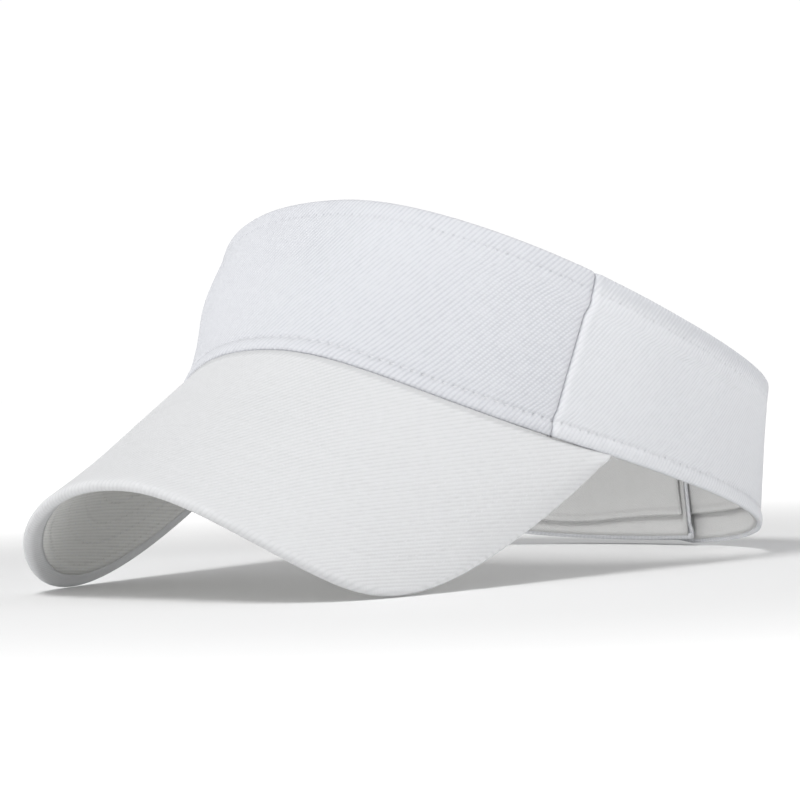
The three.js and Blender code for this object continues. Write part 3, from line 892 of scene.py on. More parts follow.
@dataclass
class Finishes:
    """Every finish of the visor, made once."""

    groups: dict[str, bpy.types.NodeTree] = field(default_factory=dict)
    made: dict[str, bpy.types.Material] = field(default_factory=dict)

    def __post_init__(self) -> None:
        """Builds the shared groups and the materials."""
        self.groups = {
            "twill": twill_group(), "plain": plain_group(),
            "seam": seam_group(), "tone": tone_group(),
        }
        # The stitch rows hem, crest, upper_rows, lower_rows and sweat_row also darken the colour in
        # their channels and needle holes: painted shade.
        hem = SeamLine("run", 0.0044, depth=0.4, shade=0.04, hole=0.2, stitch=0.0032)
        crest = SeamLine("rim", 0.0062, width=0.0010, depth=0.15, shade=0.04, hole=0.12)
        # Painted shade: a band just below the top edge is darkened in colour, faintly on the
        # forehead panel and strongly on the side panels.
        front_strip_shade = SeamLine("rim", 0.0024, width=0.0046, depth=0.0, shade=0.03, hole=0.0)
        side_strip_shade = SeamLine("rim", 0.0022, width=0.0048, depth=0.0, shade=0.6, hole=0.0)
        # Painted shade in the fold where the brim meets the band: the brim's cloth is darkened next
        # to its root.
        root = SeamLine("root", 0.0, width=0.0026, depth=0.0, shade=1.0, hole=0.0)
        # Painted shade in the groove of the seam between the forehead and side panels, with darker
        # needle holes.
        groove = SeamLine("ends", 0.0, width=0.0011, depth=0.0, shade=1.0, hole=0.5)
        # Painted highlight: a lighter line along the side panel just beside that seam.
        seam_ridge_highlight = SeamLine("ends", 0.0021, width=0.0013, depth=0.0, shade=-0.10, hole=0.0)
        rows_over = {"repeat": 0.0075, "last": 0.0535, "width": 0.0012}
        upper_rows = SeamLine("run", 0.0085, depth=0.08, shade=0.02, hole=0.03, **rows_over)
        lower_rows = SeamLine("run", 0.0085, depth=0.25, shade=0.05, hole=0.15, **rows_over)
        sweat_row = SeamLine("run", 0.0018, depth=0.3, shade=0.05, hole=0.05)
        finishes = [
            # front_twill is the same white twill as side_twill with a darker colour: painted shade
            # on the forehead panel.
            ClothFinish(
                "front_twill", (0.645, 0.655, 0.685), (0.49, 0.50, 0.54), rib_turn=52,
                rib_pitch=0.00125, yarn_pitch=0.0010, relief=0.00009,
                seams=(hem, crest, front_strip_shade, groove),
            ),
            # side_twill is the same white twill as front_twill with a lighter colour: painted light
            # on the side panels.
            ClothFinish(
                "side_twill", (0.715, 0.725, 0.75), (0.595, 0.605, 0.635), rib_turn=61,
                rib_pitch=0.00122, yarn_pitch=0.0009, relief=0.00007,
                seams=(hem, crest, side_strip_shade, groove, seam_ridge_highlight),
            ),
            ClothFinish(
                "brim_twill", (0.675, 0.68, 0.69), (0.575, 0.58, 0.59), rib_turn=-58,
                rib_pitch=0.00145, yarn_pitch=0.0010, relief=0.00006, seams=(upper_rows, root),
            ),
            # brim_under_twill is the brim's upper twill given a lighter colour: painted light on
            # the shaded underside.
            ClothFinish(
                "brim_under_twill", (0.74, 0.74, 0.72), (0.62, 0.62, 0.60), rib_turn=50,
                rib_pitch=0.00148, yarn_pitch=0.0010, relief=0.00008, seams=(lower_rows,),
            ),
            ClothFinish("lining_cotton", (0.65, 0.65, 0.645), (0.55, 0.55, 0.545)),
            ClothFinish(
                "buckram_weave", (0.72, 0.72, 0.70), (0.54, 0.54, 0.52), yarn_pitch=0.0016,
                relief=0.0002,
            ),
            ClothFinish("tape_cotton", (0.71, 0.71, 0.70), (0.61, 0.61, 0.60), yarn_pitch=0.0006),
            ClothFinish(
                "sweatband_cotton", (0.63, 0.63, 0.625), (0.53, 0.53, 0.525), yarn_pitch=0.0010,
                relief=0.00010, seams=(sweat_row,),
            ),
        ]
        grains = [
            GrainFinish("sewing_thread", (0.72, 0.725, 0.745), (0.62, 0.625, 0.645), 0.75, 3000),
            GrainFinish("brim_board_plastic", (0.86, 0.86, 0.85), (0.80, 0.80, 0.79), 0.45, 300),
            GrainFinish("hook_nylon", (0.74, 0.74, 0.74), (0.60, 0.60, 0.61), 0.4, 1200),
            GrainFinish("loop_nylon", (0.74, 0.74, 0.74), (0.54, 0.54, 0.55), 0.9, 1500, 0.0004),
        ]
        for finish in [*finishes, *grains]:
            self.made[finish.name] = finish.material(self.groups)

    def dress(self, obj: bpy.types.Object, name: str) -> None:
        """Puts a finish on a piece."""
        obj.data.materials.clear()
        obj.data.materials.append(self.made[name])


# ---- The visor -----------------------------------------------------------------------------------
@dataclass
class Piece:
    """What a finished piece rides on, stands for and is sewn from."""

    obj: bpy.types.Object
    finish: str
    slot: str
    body: str = "visor"
    stands_for: tuple[str, ...] = ()


@dataclass
class SunVisor:
    """What the sub-assemblies share: the forms, the finishes and the way a piece is reported.

    Args:
        band: the band's surface.
        brim: the brim's surface.
        finishes: every finish.
        cloth: thickness of the outer cloth.
        stiffener: thickness of the stiffener and of the linings.
        clearance: air left between layers.
        seam_low: angle of the front/side seams at the bottom edge, in degrees.
        seam_high: the same at the top edge.
        seam_gap: width of the groove at a seam.
        hem_turn: how far the top edge is turned in.
        row_below_top: depth of the top row of stitches below the top edge.
        row_over_hem: height of the hem's row of stitches.
        stitch: the stitches that sew the band.
    """

    band: BandForm
    brim: BrimForm
    finishes: Finishes
    cloth: float = 0.8
    stiffener: float = 1.0
    clearance: float = 0.3
    seam_low: float = 66.7
    seam_high: float = 69.7
    seam_gap: float = 0.42
    hem_turn: float = 7
    row_below_top: float = 6.2
    row_over_hem: float = 4.4
    stitch: StitchRun = field(default_factory=StitchRun)

    @property
    def inside(self) -> float:
        """Outward distance of the face that the inner trims lie on."""
        return -(self.cloth + self.stiffener + 2 * self.clearance)

    def report(self, piece: Piece) -> bpy.types.Object:
        """Dresses a piece, ties it to its body and logs it."""
        self.finishes.dress(piece.obj, piece.finish)
        if piece.stands_for:
            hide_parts(*piece.stands_for)
        if piece.body:
            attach(piece.obj, piece.body)
        LOG.info("%s: %d faces", piece.obj.name, len(piece.obj.data.polygons))
        return piece.obj

    def declare(self, obj: bpy.types.Object, rests_on: Sequence[str]) -> None:
        """Takes a piece and the pieces that it rests on, and does nothing with them."""


def panel_section(v: SunVisor) -> list[Place]:
    """Middle line of an outer panel's cloth: rolled hem, face, fold at the top, turned-in edge."""
    face = -v.cloth / 2
    back = v.inside - v.cloth / 2
    middle, half = (face + back) / 2, (face - back) / 2
    fold = [
        down(half * (1 - math.sin(a * RAD)), middle + half * math.cos(a * RAD))
        for a in (0, 25, 50, 70, 90, 110, 130, 155, 180)
    ]
    hem = [
        up(1.3, -1.0), up(0.5, -0.7), up(0.12, -0.25), up(0.3, 0.02), up(0.9, 0.17), up(1.7, 0.22),
        up(2.6, 0.13), up(3.4, -0.1), up(4.1, -0.40), up(4.6, -0.5), up(5.4, face),
    ]
    crest = [
        down(9.5, face), down(8.0, face), down(7.0, face - 0.06), down(6.2, face - 0.11),
        down(5.4, face - 0.05), down(4.4, face + 0.01), down(3.2, face + 0.03),
    ]
    turned = [down(3.5, back), down(5.2, back), down(v.hem_turn, back)]
    return [*hem, *rows(0.16, 0.74, 22, face), *crest, *fold, *turned]


# Places of the section that lie on the bottom edge, and on the fold at the top.
HEM_FOOT, HEM_CREST = 2, 11 + 22 + 7 + 4


@dataclass
class Band:
    """Forehead panel, side panels, their linings, the seam tapes and the sweatband.

    Args:
        v: the visor.
        tab_root: angle where the tab peels off, in degrees.
        tab_end: angle of the tab's rounded end.
        tab_corner: radius of that end's corners.
        right_end: angle where the inner strap ends.
        step: angles between which the inner strap steps inwards.
        step_in: how far it steps inwards.
        sweat_lift: height of the sweatband over the bottom edge.
        sweat_lift_left: the same on the left strap.
        sweat_width: width of the sweatband.
        back_edge: how far above the hem the tab's turned-in cloth ends.
        ripple: greatest swell of the cloth's unevenness.
    """

    v: SunVisor
    tab_root: float = 170
    tab_end: float = 204
    tab_corner: float = 9
    right_end: float = 165
    step: tuple[float, float] = (222, 207)
    step_in: float = 4.9
    sweat_lift: float = 4
    sweat_lift_left: float = 8
    sweat_width: float = 20
    back_edge: float = 1.2
    ripple: float = 0.13

    def step_inwards(self, angle: Array) -> Array:
        """The inner strap steps inwards to pass under the tab."""
        round_it = np.where(angle < 0, angle + 360, angle)
        share = ease((self.step[0] - round_it) / (self.step[0] - self.step[1]))
        return np.where(angle < 0, -self.step_in * share, 0.0)

    def tab_trim(self, angle: Array) -> Array:
        """Rounds the tab's end and sets the tab in a little from the strap's edges."""
        radius = (self.v.band.half_width + self.v.band.half_length) / 2
        reach = (self.tab_end - angle) * RAD * radius
        rest = self.tab_corner - np.clip(reach, 0, self.tab_corner)
        corner = self.tab_corner - np.sqrt(np.maximum(0, self.tab_corner**2 - rest**2))
        return np.where(reach < self.tab_corner, corner, 0) + ease((angle - self.tab_root + 2) / 5)

    def tab_reshape(self, angle: Array, height: Array, out: Array) -> tuple[Array, Array]:
        """Past the bend the turned-in cloth runs down the whole back of the tab."""
        share = ease((angle - self.tab_root + 5) / 6)
        face = -self.v.cloth / 2
        phi = angle * RAD
        low = self.v.band.bottom(phi) + self.tab_trim(angle)
        high = self.v.band.top(phi) - self.tab_trim(angle)
        new_height = height.copy()
        new_out = np.where(out > face, mix(out, face, share), out)
        # From the fold on, the cloth lies close behind the face and ends short of the hem.
        back = slice(HEM_CREST, None)
        depth = np.linspace(0, 1, out.shape[1] - HEM_CREST)[None, :]
        tall = (high - low)[:, back]
        fall = np.minimum(depth * tall, tall - self.back_edge)
        new_height[:, back] = mix(height[:, back], high[:, back] - fall, share[:, back])
        doubled = mix(out[:, back], np.maximum(face - self.v.cloth, out[:, back]), share[:, back])
        new_out[:, back] = np.where(depth > 0, doubled, new_out[:, back])
        return new_height, new_out

    def seam_ends(self) -> tuple[tuple[float, float], tuple[float, float]]:
        """Angles of the front panel's right end and of the side panel's start."""
        v = self.v
        gap = v.seam_gap / 2 / DEGREE_RUN
        return (v.seam_low - gap, v.seam_high - gap), (v.seam_low + gap, v.seam_high + gap)

    def panels(self) -> None:
        """Lays the three outer panels."""
        v = self.v
        inner, outer = self.seam_ends()
        section = panel_section(v)
        shape = {
            "section": section, "thickness": v.cloth, "tuck": (1.35, 1.7), "ripple": self.ripple,
        }
        strap = {"bend": 0.03, "ridge": 0.12, **shape}
        front = BandPiece(
            v.band, "forehead_panel_cloth", start=(-inner[0], -inner[1]), end=inner, **shape,
        )
        left = BandPiece(
            v.band, "left_strap_cloth", start=outer, end=(self.tab_end,) * 2,
            trim=self.tab_trim, reshape=self.tab_reshape, tuck_ends=(True, False), **strap,
        )
        right = BandPiece(
            v.band, "right_strap_cloth", start=(self.right_end - 360,) * 2,
            end=(-outer[0], -outer[1]), shift=self.step_inwards, tuck_ends=(False, True), **strap,
        )
        for piece, finish, nodes in (
            (front, "front_twill", ("front_panel",)),
            (right, "side_twill", ("side_panel_right",)),
        ):
            obj = piece.build(HEM_FOOT, HEM_CREST)
            v.report(Piece(obj, finish, finish, stands_for=nodes))
            v.declare(obj, ["front_buckram" if piece is front else "side_lining_right"])
        obj = left.build(HEM_FOOT, HEM_CREST)
        nodes = ("side_panel_left", "closure_tab")
        v.report(Piece(obj, "side_twill", "side_twill", body="", stands_for=nodes))
        v.declare(obj, ["side_lining_left"])
        self.bend_at_tab(obj)

    def bend_at_tab(self, obj: bpy.types.Object) -> None:
        """Works out a point on each side of where the tab peels, without using them, and bakes the
        piece's placement into its mesh.
        """
        for angle in (self.tab_root - 1.6, self.tab_root + 1.6):
            phi = np.array([angle * RAD])
            height = (self.v.band.bottom(phi) + self.v.band.top(phi)) / 2
            tuple((self.v.band.point(phi, height, 0.0)[0] * MM).tolist())
        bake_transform(obj)

    def linings(self) -> None:
        """Lays the stiffener behind the forehead and the linings behind the sides."""
        v = self.v
        inner, outer = self.seam_ends()
        middle = -(v.cloth + v.clearance + v.stiffener / 2)
        section = [
            up(0.6, middle), up(2, middle), *rows(0.1, 0.9, 12, middle),
            down(3.2, middle), down(2.2, middle),
        ]
        right_start = (self.right_end - 360 + 0.5,) * 2
        left_end = (self.tab_root - 0.4,) * 2
        front, back = (-inner[0], -inner[1]), (-outer[0], -outer[1])
        for name, start, end, finish, slot, node in (
            ("forehead_buckram", front, inner, "buckram_weave", "buckram", "front_buckram"),
            ("left_strap_lining", outer, left_end, "lining_cotton", "lining", "side_lining_left"),
            (
                "right_strap_lining", right_start, back, "lining_cotton", "lining",
                "side_lining_right",
            ),
        ):
            extra = {"shift": self.step_inwards} if node == "side_lining_right" else {}
            thick = v.stiffener * 0.9
            piece = BandPiece(v.band, name, section, start, end, thick, pitch=1.6, **extra)
            obj = v.report(Piece(piece.build(0, -1), finish, slot, stands_for=(node,)))
            v.declare(obj, ["forehead_panel_cloth"])

    def lift(self, angle: Array) -> Array:
        """The sweatband rides higher on the left strap."""
        ride = self.sweat_lift_left - self.sweat_lift
        return ride * (ease((angle - 100) / 50) + 0.6 * ease((-165 - angle) / 22))

    def sweatband(self) -> None:
        """Lays the soft sweatband, bowed a little inwards across its width, and the seam tapes."""
        v = self.v
        start = v.inside - 0.45
        width = self.sweat_width
        section = [up(self.sweat_lift + 0.2, start)]
        for share in np.linspace(0.04, 0.96, 13).tolist():
            soft = 0.55 * math.sin(math.pi * share) ** 0.5
            section.append(up(self.sweat_lift + width * share, start - soft))
        section += [up(self.sweat_lift + width, start - 0.05)]
        ends = (self.right_end - 360 + 0.9,) * 2, (self.tab_root - 0.8,) * 2
        piece = BandPiece(
            v.band, "sweatband_cloth", section, *ends, 0.85,
            shift=self.step_inwards, lift=self.lift, pitch=1.3, ripple=self.ripple,
        )
        obj = piece.build(0, -1)
        v.report(Piece(obj, "sweatband_cotton", "sweatband", stands_for=("sweatband",)))
        v.declare(obj, ["left_strap_lining"])
        half = 5 / v.band.half_length / RAD
        for side, sign in (("left", 1), ("right", -1)):
            middle = v.inside - 0.25
            strip = [*rows(0.55, 0.80, 8, middle), down(9.0, middle), down(7.4, middle)]
            ends = [(sign * v.seam_low + k * half, sign * v.seam_high + k * half) for k in (-1, 1)]
            tape = BandPiece(v.band, f"{side}_seam_tape_cloth", strip, ends[0], ends[1], 0.45)
            node = (f"seam_tape_{side}",)
            v.report(Piece(tape.build(0, -1), "tape_cotton", "tape", stands_for=node))

    def row(
        self, start: float, end: float, height: Callable[[Array], Array], out: float,
        shift: Callable[[Array], Array] | None = None,
    ) -> tuple[Array, Array]:
        """Path of a row of stitches round the band.

        Args:
            start: angle of the row's first end, in degrees.
            end: angle of its last end.
            height: height over the oval's plane by angle in radians.
            out: distance outwards from the cloth's face.
            shift: further distance outwards by angle in degrees.

        Returns:
            The points, and the outward directions along them.
        """
        band = self.v.band
        angle = np.arange(start, end, 0.5)
        phi = angle * RAD
        off = out + (shift(angle) if shift else 0 * angle)
        off = off + self.ripple * band.ripple(phi, height(phi))
        points = band.point(phi, height(phi), off)
        return points, unit(band.point(phi, height(phi), off + 1.0) - points)

    def top_row(self, phi: Array) -> Array:
        """Height of the row of stitches below the top edge."""
        return self.v.band.top(phi) - self.v.row_below_top

    def hem_row(self, phi: Array) -> Array:
        """Height of the row of stitches over the hem."""
        return self.v.band.bottom(phi) + self.v.row_over_hem

    def sweat_row(self, share: float) -> Callable[[Array], Array]:
        """Height of a row of stitches, a share of the way up the sweatband."""
        base = self.sweat_lift

        def height(phi: Array) -> Array:
            """Height by angle in radians."""
            low = self.v.band.bottom(phi) + base + self.lift(phi / RAD)
            return low + self.sweat_width * share

        return height

    def stitches(self) -> None:
        """Sews the two edges of the band, and the sweatband."""
        v = self.v
        inner, outer = self.seam_ends()
        in_top, in_hem = -0.22, -0.12
        right = self.right_end - 360
        # The seams lean, so a row near the top edge ends this much further round.
        lean = 2.9
        for name, start, end, first, last, shift in (
            ("forehead", -inner[0] + 1.2, inner[0] - 1.2, -lean, lean, None),
            ("right_strap", right + 1, -outer[0] - 1.2, 0, -lean, self.step_inwards),
        ):
            paths = [
                self.row(start + first, end + last, self.top_row, in_top, shift),
                self.row(start, end, self.hem_row, in_hem, shift),
            ]
            v.report(Piece(v.stitch.build(f"{name}_stitches", paths), "sewing_thread", "tape"))
        stop = self.tab_root - 3
        paths = [
            self.row(outer[1] + 1.2, stop, self.top_row, in_top),
            self.row(outer[0] + 1.2, stop, self.hem_row, in_hem),
        ]
        v.report(Piece(v.stitch.build("left_strap_stitches", paths), "sewing_thread", "tape"))
        span = right + 1.5, self.tab_root - 1.5
        paths = []
        for share in (0.12, 0.94):
            height = self.sweat_row(share)
            points, normals = self.row(*span, height, v.inside - 1.05, self.step_inwards)
            paths.append((points, -normals))
        v.report(Piece(v.stitch.build("sweatband_stitches", paths), "sewing_thread", "tape"))

    def build(self) -> None:
        """Builds the whole band."""
        self.panels()
        self.linings()
        self.sweatband()
        self.stitches()


@dataclass
class Closure:
    """Hook patch, loop patch, and the stitches that hold the hook patch.

    Args:
        v: the visor.
        band: the band that the closure joins.
        hook_span: angles of the hook patch's ends, in degrees.
        loop_span: the same for the loop patch.
        set_in: how far the patches lie in from the strap's edges.
        hook_pitch: distance between hooks, in degrees along and millimetres across.
        stitch_margin: how far the tab's stitches lie in from the strap's edges.
    """

    v: SunVisor
    band: Band
    hook_span: tuple[float, float] = (178, 201)
    loop_span: tuple[float, float] = (174, 203)
    set_in: float = 7
    hook_pitch: tuple[float, float] = (0.85, 1.25)
    stitch_margin: float = 8.2

    def patch(
        self, name: str, span: tuple[float, float], out: float, thick: float,
    ) -> bpy.types.Object:
        """A flat patch that follows the strap."""
        middle = out - thick / 2
        edge = self.set_in
        section = [up(edge, middle), *rows(0.22, 0.78, 10, middle), down(edge, middle)]
        ends = (span[0],) * 2, (span[1],) * 2
        return BandPiece(self.v.band, name, section, *ends, thick, pitch=1.2).build(0, -1)

    def hooks(self, out: float) -> bpy.types.Object:
        """Rows of small bent nylon hooks that stand on the hook patch."""
        deselect()
        bpy.ops.mesh.primitive_cone_add(
            vertices=5, radius1=0.13, radius2=0.09, depth=0.5, end_fill_type="TRIFAN",
        )
        stem = bpy.context.object
        shape = np.array([p.co[:] for p in stem.data.vertices])
        faces = [tuple(p.vertices) for p in stem.data.polygons]
        bpy.data.objects.remove(stem)
        shape[:, 0] += 0.5 * np.clip(shape[:, 2] + 0.1, 0, 1)
        band = self.v.band
        points, all_faces, base = [], [], 0
        first, last = self.hook_span[0] + 0.8, self.hook_span[1] - 0.5
        for angle in np.arange(first, last, self.hook_pitch[0]):
            phi = np.array([angle * RAD])
            low = float(band.bottom(phi)[0]) + self.set_in + 1
            high = float(band.top(phi)[0]) - self.set_in - 0.8
            for height in np.arange(low, high, self.hook_pitch[1]):
                at = band.point(phi, np.array([height]), out)[0]
                n = unit(band.point(phi, np.array([height]), out - 1.0)[0] - at)
                u = unit(band.point(phi, np.array([height + 1.0]), out)[0] - at)
                t = np.cross(u, n)
                points.append(at + shape[:, :1] * u + shape[:, 1:2] * t + (shape[:, 2:] + 0.1) * n)
                all_faces += [tuple(i + base for i in f) for f in faces]
                base += len(shape)
        return mesh_object("closure_hooks", np.concatenate(points), all_faces)

    def frame_path(
        self, span: tuple[float, float], margin: float, out: float,
    ) -> list[tuple[Array, Array]]:
        """Rectangle of stitches inside a patch's edges.

        Args:
            span: angles of the rectangle's two ends, in degrees.
            margin: distance in from the strap's edges.
            out: distance outwards from the cloth's face.

        Returns:
            Four paths, each with its points and outward directions.
        """
        band = self.v.band

        def low(phi: Array) -> Array:
            """Height of the lower side."""
            return band.bottom(phi) + margin

        def high(phi: Array) -> Array:
            """Height of the upper side."""
            return band.top(phi) - margin

        paths = [self.band.row(span[0], span[1], side, out) for side in (low, high)]
        for angle in span:
            phi = np.full(20, angle * RAD)
            height = np.linspace(float(low(phi)[0]), float(high(phi)[0]), 20)
            points = band.point(phi, height, out)
            paths.append((points, unit(band.point(phi, height, out + 1.0) - points)))
        return paths

    def build(self) -> None:
        """Builds the closure."""
        v, band = self.v, self.band
        # The tab is doubled cloth, and the hooks stand on the inner face of their patch.
        hook_face = -(v.cloth * 2 + v.clearance)
        hook = self.patch("hook_patch_tape", self.hook_span, hook_face, 0.55)
        v.report(Piece(hook, "hook_nylon", "hook", body="closure", stands_for=("hook_patch",)))
        v.report(Piece(self.hooks(hook_face - 0.7), "hook_nylon", "hook", body="closure"))
        loop_face = -band.step_in + v.clearance + 1.1
        loop = self.patch("loop_patch_tape", self.loop_span, loop_face, 1.0)
        v.report(Piece(loop, "loop_nylon", "loop", stands_for=("loop_patch",)))
        span = (self.hook_span[0] + 0.5, self.hook_span[1] - 0.5)
        paths = self.frame_path(span, self.stitch_margin, 0.0)
        outside = v.stitch.build("closure_tab_stitches", paths)
        v.report(Piece(outside, "sewing_thread", "tape", body="closure"))


@dataclass
class Brim:
    """Upper and lower cloth of the brim over its board, and the rows of stitches.

    Args:
        v: the visor.
        stations: number of lines across the brim.
        cloth: thickness of each cover.
        board: thickness of the board.
        lip: how far the upper cloth wraps round under the rim.
        tuck: how far the covers pass in under the band.
        row_first: distance of the first row of stitches from the free edge.
        row_pitch: distance between rows.
        row_count: number of rows.
        full: how far the upper cloth stands off the board at the sides.
        full_from: angle where that fullness starts, in degrees.
        full_over: angle over which it grows.
        tip: thickness of the first lines at each tip, as shares of the whole.
        tip_over: height that the middle of a tip rises to.
    """

    v: SunVisor
    stations: int = 241
    cloth: float = 0.7
    board: float = 1.6
    lip: float = 5
    tuck: float = 2.4
    row_first: float = 8.5
    row_pitch: float = 7.5
    row_count: int = 7
    full: float = 1.6
    full_from: float = 25
    full_over: float = 30
    tip: tuple[float, ...] = (0.04, 0.45, 0.72, 0.88, 0.96)
    tip_over: float = -0.5

    @property
    def thickness(self) -> float:
        """Whole thickness of the brim."""
        return 2 * self.cloth + self.board + 2 * self.v.clearance

    def tuck_points(self, root: Array, over: Array, inwards: Array) -> Array:
        """Points under the band's bottom edge."""
        band = self.v.band
        return band.point(root, band.bottom(root) - self.v.clearance + over, -inwards)

    def fullness(self, edge: Array, share: Array) -> Array:
        """How far the upper cloth stands off its board, over the two drooping sides."""
        side = ease((np.abs(edge) / RAD - self.full_from) / self.full_over)
        return self.full * side * np.sin(np.pi * share)

    def lay(self, upper: bool) -> tuple[Array, Array]:
        """Grid of one cover, with each point's share of the way out."""
        form = self.v.brim
        root, edge = form.lines(self.stations)
        reach = form.reach(edge)
        taper = np.ones(self.stations)
        for k, share in enumerate(self.tip):
            taper[k] = taper[-1 - k] = share
        half = (self.thickness / 2 - self.cloth / 2) * taper
        middle = mix(self.tip_over, -self.v.clearance - self.thickness / 2, taper)
        shares = [0.02, 0.05, *np.linspace(0.09, 0.955, 44).tolist()]
        columns, share_list = [], []
        over = middle + half if upper else middle - half
        inset = np.minimum(self.lip, reach * 0.35) / reach
        for inwards in (self.tuck, 0.0):
            if upper or inwards:
                rise = middle + self.v.clearance + (half if upper else -half)
                columns.append(self.tuck_points(root, rise, inwards * taper))
                share_list.append(0 * root)
        stop = 1.0 if upper else 1 - inset - 0.12 / reach
        for share in shares:
            s = share * stop + 0 * root
            puff = self.fullness(edge, s) if upper else 0
            columns.append(form.place(root, edge, s, over + puff))
            share_list.append(s)
        if upper:
            flat = 0 * root
            near_rim = form.place(root, edge, 0.95 + flat, flat)
            direction = unit(form.place(root, edge, 1 + flat, flat) - near_rim)
            n = form.normal(edge, reach)
            rim = form.place(root, edge, 1 + 0 * root, middle + 0 * root)
            for angle in range(0, 181, 20):
                a = angle * RAD
                columns.append(rim + half[:, None] * (math.cos(a) * n + math.sin(a) * direction))
                share_list.append(1 + 0 * root)
            for k in (0.3, 0.65, 1.0):
                columns.append(form.place(root, edge, 1 - inset * k, middle - half + 0 * root))
                share_list.append(1 - inset * k)
        else:
            columns.append(form.place(root, edge, stop + 0 * root, over + 0 * root))
            share_list.append(stop + 0 * root)
        return np.stack(columns, 1), np.stack(share_list, 1)

    def cover(self, upper: bool) -> bpy.types.Object:
        """Makes one cover of the brim."""
        form = self.v.brim
        grid, share = self.lay(upper)
        root, edge = form.lines(self.stations)
        root_grid, edge_grid = (np.broadcast_to(a[:, None], share.shape) for a in (root, edge))
        weave = form.weave(root_grid, edge_grid, share)
        across = run_length(grid, 1)
        crest = int(np.argmax(share[self.stations // 2] >= 0.999)) if upper else share.shape[1] - 1
        from_edge = across[:, crest: crest + 1] - across + (0 if upper else self.lip)
        if upper:
            # Past the rim the cloth runs on under the brim, so its pattern runs on too.
            under = np.arange(share.shape[1])[None, :] > crest
            wrapped = np.maximum(0, across - across[:, crest: crest + 1])
            wrapped = wrapped * MM + (1 - share) * form.reach(edge_grid) * MM
            weave[..., 1] += np.where(under, wrapped, 0)
        edge_run = run_length(grid[:, crest], 0)
        along = np.broadcast_to((edge_run - edge_run[self.stations // 2])[:, None], share.shape)
        from_root = across - across[:, 1:2]
        maps = {
            "weave": weave,
            "run": np.stack([along, from_edge], -1) * MM,
            "root": np.stack([along, from_root], -1) * MM,
        }
        name = "brim_upper_cloth" if upper else "brim_lower_cloth"
        return ClothSheet(name, grid, self.cloth, maps, flip=True).build()

    def stitch_rows(self, upper: bool) -> list[tuple[Array, Array]]:
        """Paths of the rows of stitches, each a set distance in from the free edge."""
        form = self.v.brim
        root, edge = form.lines(self.stations)
        reach = form.reach(edge)
        middle = -self.v.clearance - self.thickness / 2
        over = middle + (self.thickness / 2 if upper else -self.thickness / 2)
        paths = []
        for k in range(self.row_count):
            share = 1 - (self.row_first + k * self.row_pitch) / reach
            keep = share > 0.04
            r, e, s = root[keep], edge[keep], share[keep]
            points = form.place(r, e, s, over + (self.fullness(e, s) if upper else 0 * r))
            normals = form.normal(mix(r, e, s), form.reach(e) * s)
            paths.append((points, normals if upper else -normals))
        return paths

    def build(self) -> None:
        """Builds the brim."""
        v = self.v
        for upper, finish, node, name in (
            (True, "brim_twill", "brim_top_cover", "brim_upper_stitches"),
            (False, "brim_under_twill", "brim_under_cover", "brim_lower_stitches"),
        ):
            obj = v.report(Piece(self.cover(upper), finish, "brim_twill", stands_for=(node,)))
            v.declare(obj, ["brim_board"])
            stitch = StitchRun(proud=-0.07 if upper else -0.03, width=0.3)
            v.report(Piece(stitch.build(name, self.stitch_rows(upper)), "sewing_thread", "tape"))
        v.finishes.dress(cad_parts["brim_board"], "brim_board_plastic")


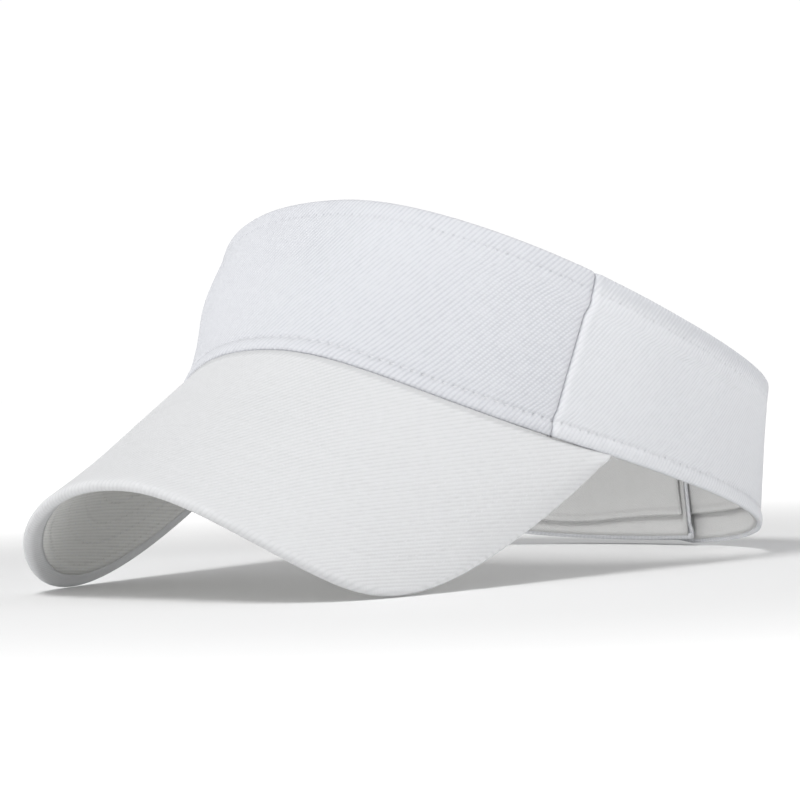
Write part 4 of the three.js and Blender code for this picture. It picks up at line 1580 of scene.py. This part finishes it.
@dataclass
class Studio:
    """Pale floor, soft lights and the camera.

    Args:
        azimuth: camera's angle round the visor, in degrees.
        elevation: camera's angle over the floor.
        distance: distance from the camera to its target, in millimetres.
        focal: focal length over sensor width, times 800.
        target_across: target's place to the right of the visor's middle.
        target_height: target's height over the floor.
        roll: camera's turn about its own axis, in degrees.
        wall: brightness of the walls near the horizon.
        ceiling: brightness of the ceiling.
        glow_from: distance from the visor, in metres, where the floor starts to glow.
        glow_full: distance where it glows most.
        glow: strength of that glow.
        lamps: name, place, size and power of each light, in metres and watts.
    """

    azimuth: float = 41.24
    elevation: float = 0.65
    distance: float = 940.7
    focal: float = 2997.6
    target_across: float = -18.474
    target_height: float = 51.934
    roll: float = -2.181
    wall: float = 1.02
    ceiling: float = 0.40
    glow_from: float = 0.16
    glow_full: float = 0.6
    glow: float = 0.62
    lamps: tuple[tuple[str, tuple[float, float, float], float, float], ...] = (
        ("overhead", (0.10, -0.84, 1.24), 0.5, 11.3),
        ("right", (1.8, 0.3, 0.5), 0.9, 7.0),
        ("left", (-1.6, -1.1, 0.06), 0.8, 8.0),
    )

    def camera(self) -> None:
        """Places the camera."""
        a, e, roll = self.azimuth * RAD, self.elevation * RAD, self.roll * RAD
        right = Vector((math.cos(a), math.sin(a), 0))
        ahead = Vector((-math.sin(a) * math.cos(e), math.cos(a) * math.cos(e), -math.sin(e)))
        above = right.cross(ahead)
        target = right * self.target_across + Vector((0, 28.705, self.target_height))
        spot = (target - ahead * self.distance) * MM
        turned_right = right * math.cos(roll) + above * math.sin(roll)
        turned_up = above * math.cos(roll) - right * math.sin(roll)
        data = bpy.data.cameras.new("camera")
        data.sensor_width = 36
        data.lens = 36 * self.focal / 800
        data.clip_start, data.clip_end = 0.02, 30
        camera = bpy.data.objects.new("camera", data)
        bpy.context.scene.collection.objects.link(camera)
        axes = Matrix((turned_right, turned_up, -ahead)).transposed()
        camera.matrix_world = Matrix.Translation(spot) @ axes.to_4x4()
        bpy.context.scene.camera = camera

    def floor(self) -> None:
        """Lays a wide pale floor that glows a little away from the visor."""
        deselect()
        bpy.ops.mesh.primitive_plane_add(size=12, location=(0, 0, -0.0004))
        plane = bpy.context.object
        plane.name = "studio_floor"
        material = bpy.data.materials.new("studio_floor")
        material.use_nodes = True
        shader = material.node_tree.nodes["Principled BSDF"]
        shader.inputs["Base Color"].default_value = (0.90, 0.90, 0.90, 1)
        shader.inputs["Roughness"].default_value = 1.0
        shader.inputs["Specular IOR Level"].default_value = 0.0
        shader.inputs["Emission Color"].default_value = (1, 1, 1, 1)
        g = Graph(material.node_tree)
        spot = g.node("ShaderNodeVectorMath", _operation="LENGTH")
        g.feed(spot.inputs[0], g.node("ShaderNodeTexCoord").outputs["Object"])
        limits = (0.0, self.glow)
        glow = g.fade(spot.outputs["Value"], self.glow_from, self.glow_full, limits)
        g.feed(shader.inputs["Emission Strength"], glow)
        plane.data.materials.append(material)

    def sky(self) -> None:
        """Surrounds the studio with white walls and a dimmer ceiling."""
        world = bpy.data.worlds.new("studio")
        bpy.context.scene.world = world
        world.use_nodes = True
        g = Graph(world.node_tree)
        sight = g.node("ShaderNodeTexCoord").outputs["Generated"]
        way = g.node("ShaderNodeSeparateXYZ", Vector=sight)
        wall = g.fade(g.math("ABSOLUTE", way.outputs["Z"]), 0.15, 0.45, (self.wall, self.ceiling))
        g.feed(world.node_tree.nodes["Background"].inputs["Strength"], wall)
        world.node_tree.nodes["Background"].inputs["Color"].default_value = (1, 1, 1, 1)

    def light(self, name: str, spot: tuple[float, float, float], size: float, power: float) -> None:
        """Adds a soft square light that looks at the visor."""
        data = bpy.data.lights.new(name, "AREA")
        data.shape, data.size, data.energy = "SQUARE", size, power
        lamp = bpy.data.objects.new(name, data)
        bpy.context.scene.collection.objects.link(lamp)
        lamp.location = spot
        way = Vector((0, 0, 0.05)) - Vector(spot)
        lamp.rotation_euler = way.to_track_quat("-Z", "Y").to_euler()

    def build(self) -> None:
        """Sets the whole studio."""
        scene = bpy.context.scene
        scene.view_settings.view_transform = "Standard"
        scene.view_settings.look = "None"
        self.camera()
        self.floor()
        self.sky()
        for lamp in self.lamps:
            self.light(*lamp)


def main() -> None:
    """Builds the visor and its studio."""
    logging.basicConfig(level=logging.INFO, format="%(name)s: %(message)s")
    Studio().build()
    band_form = BandForm()
    visor = SunVisor(band_form, BrimForm(band_form), Finishes())
    Brim(visor).build()
    band = Band(visor)
    band.build()
    Closure(visor, band).build()


if __name__ == "__main__":
    main()
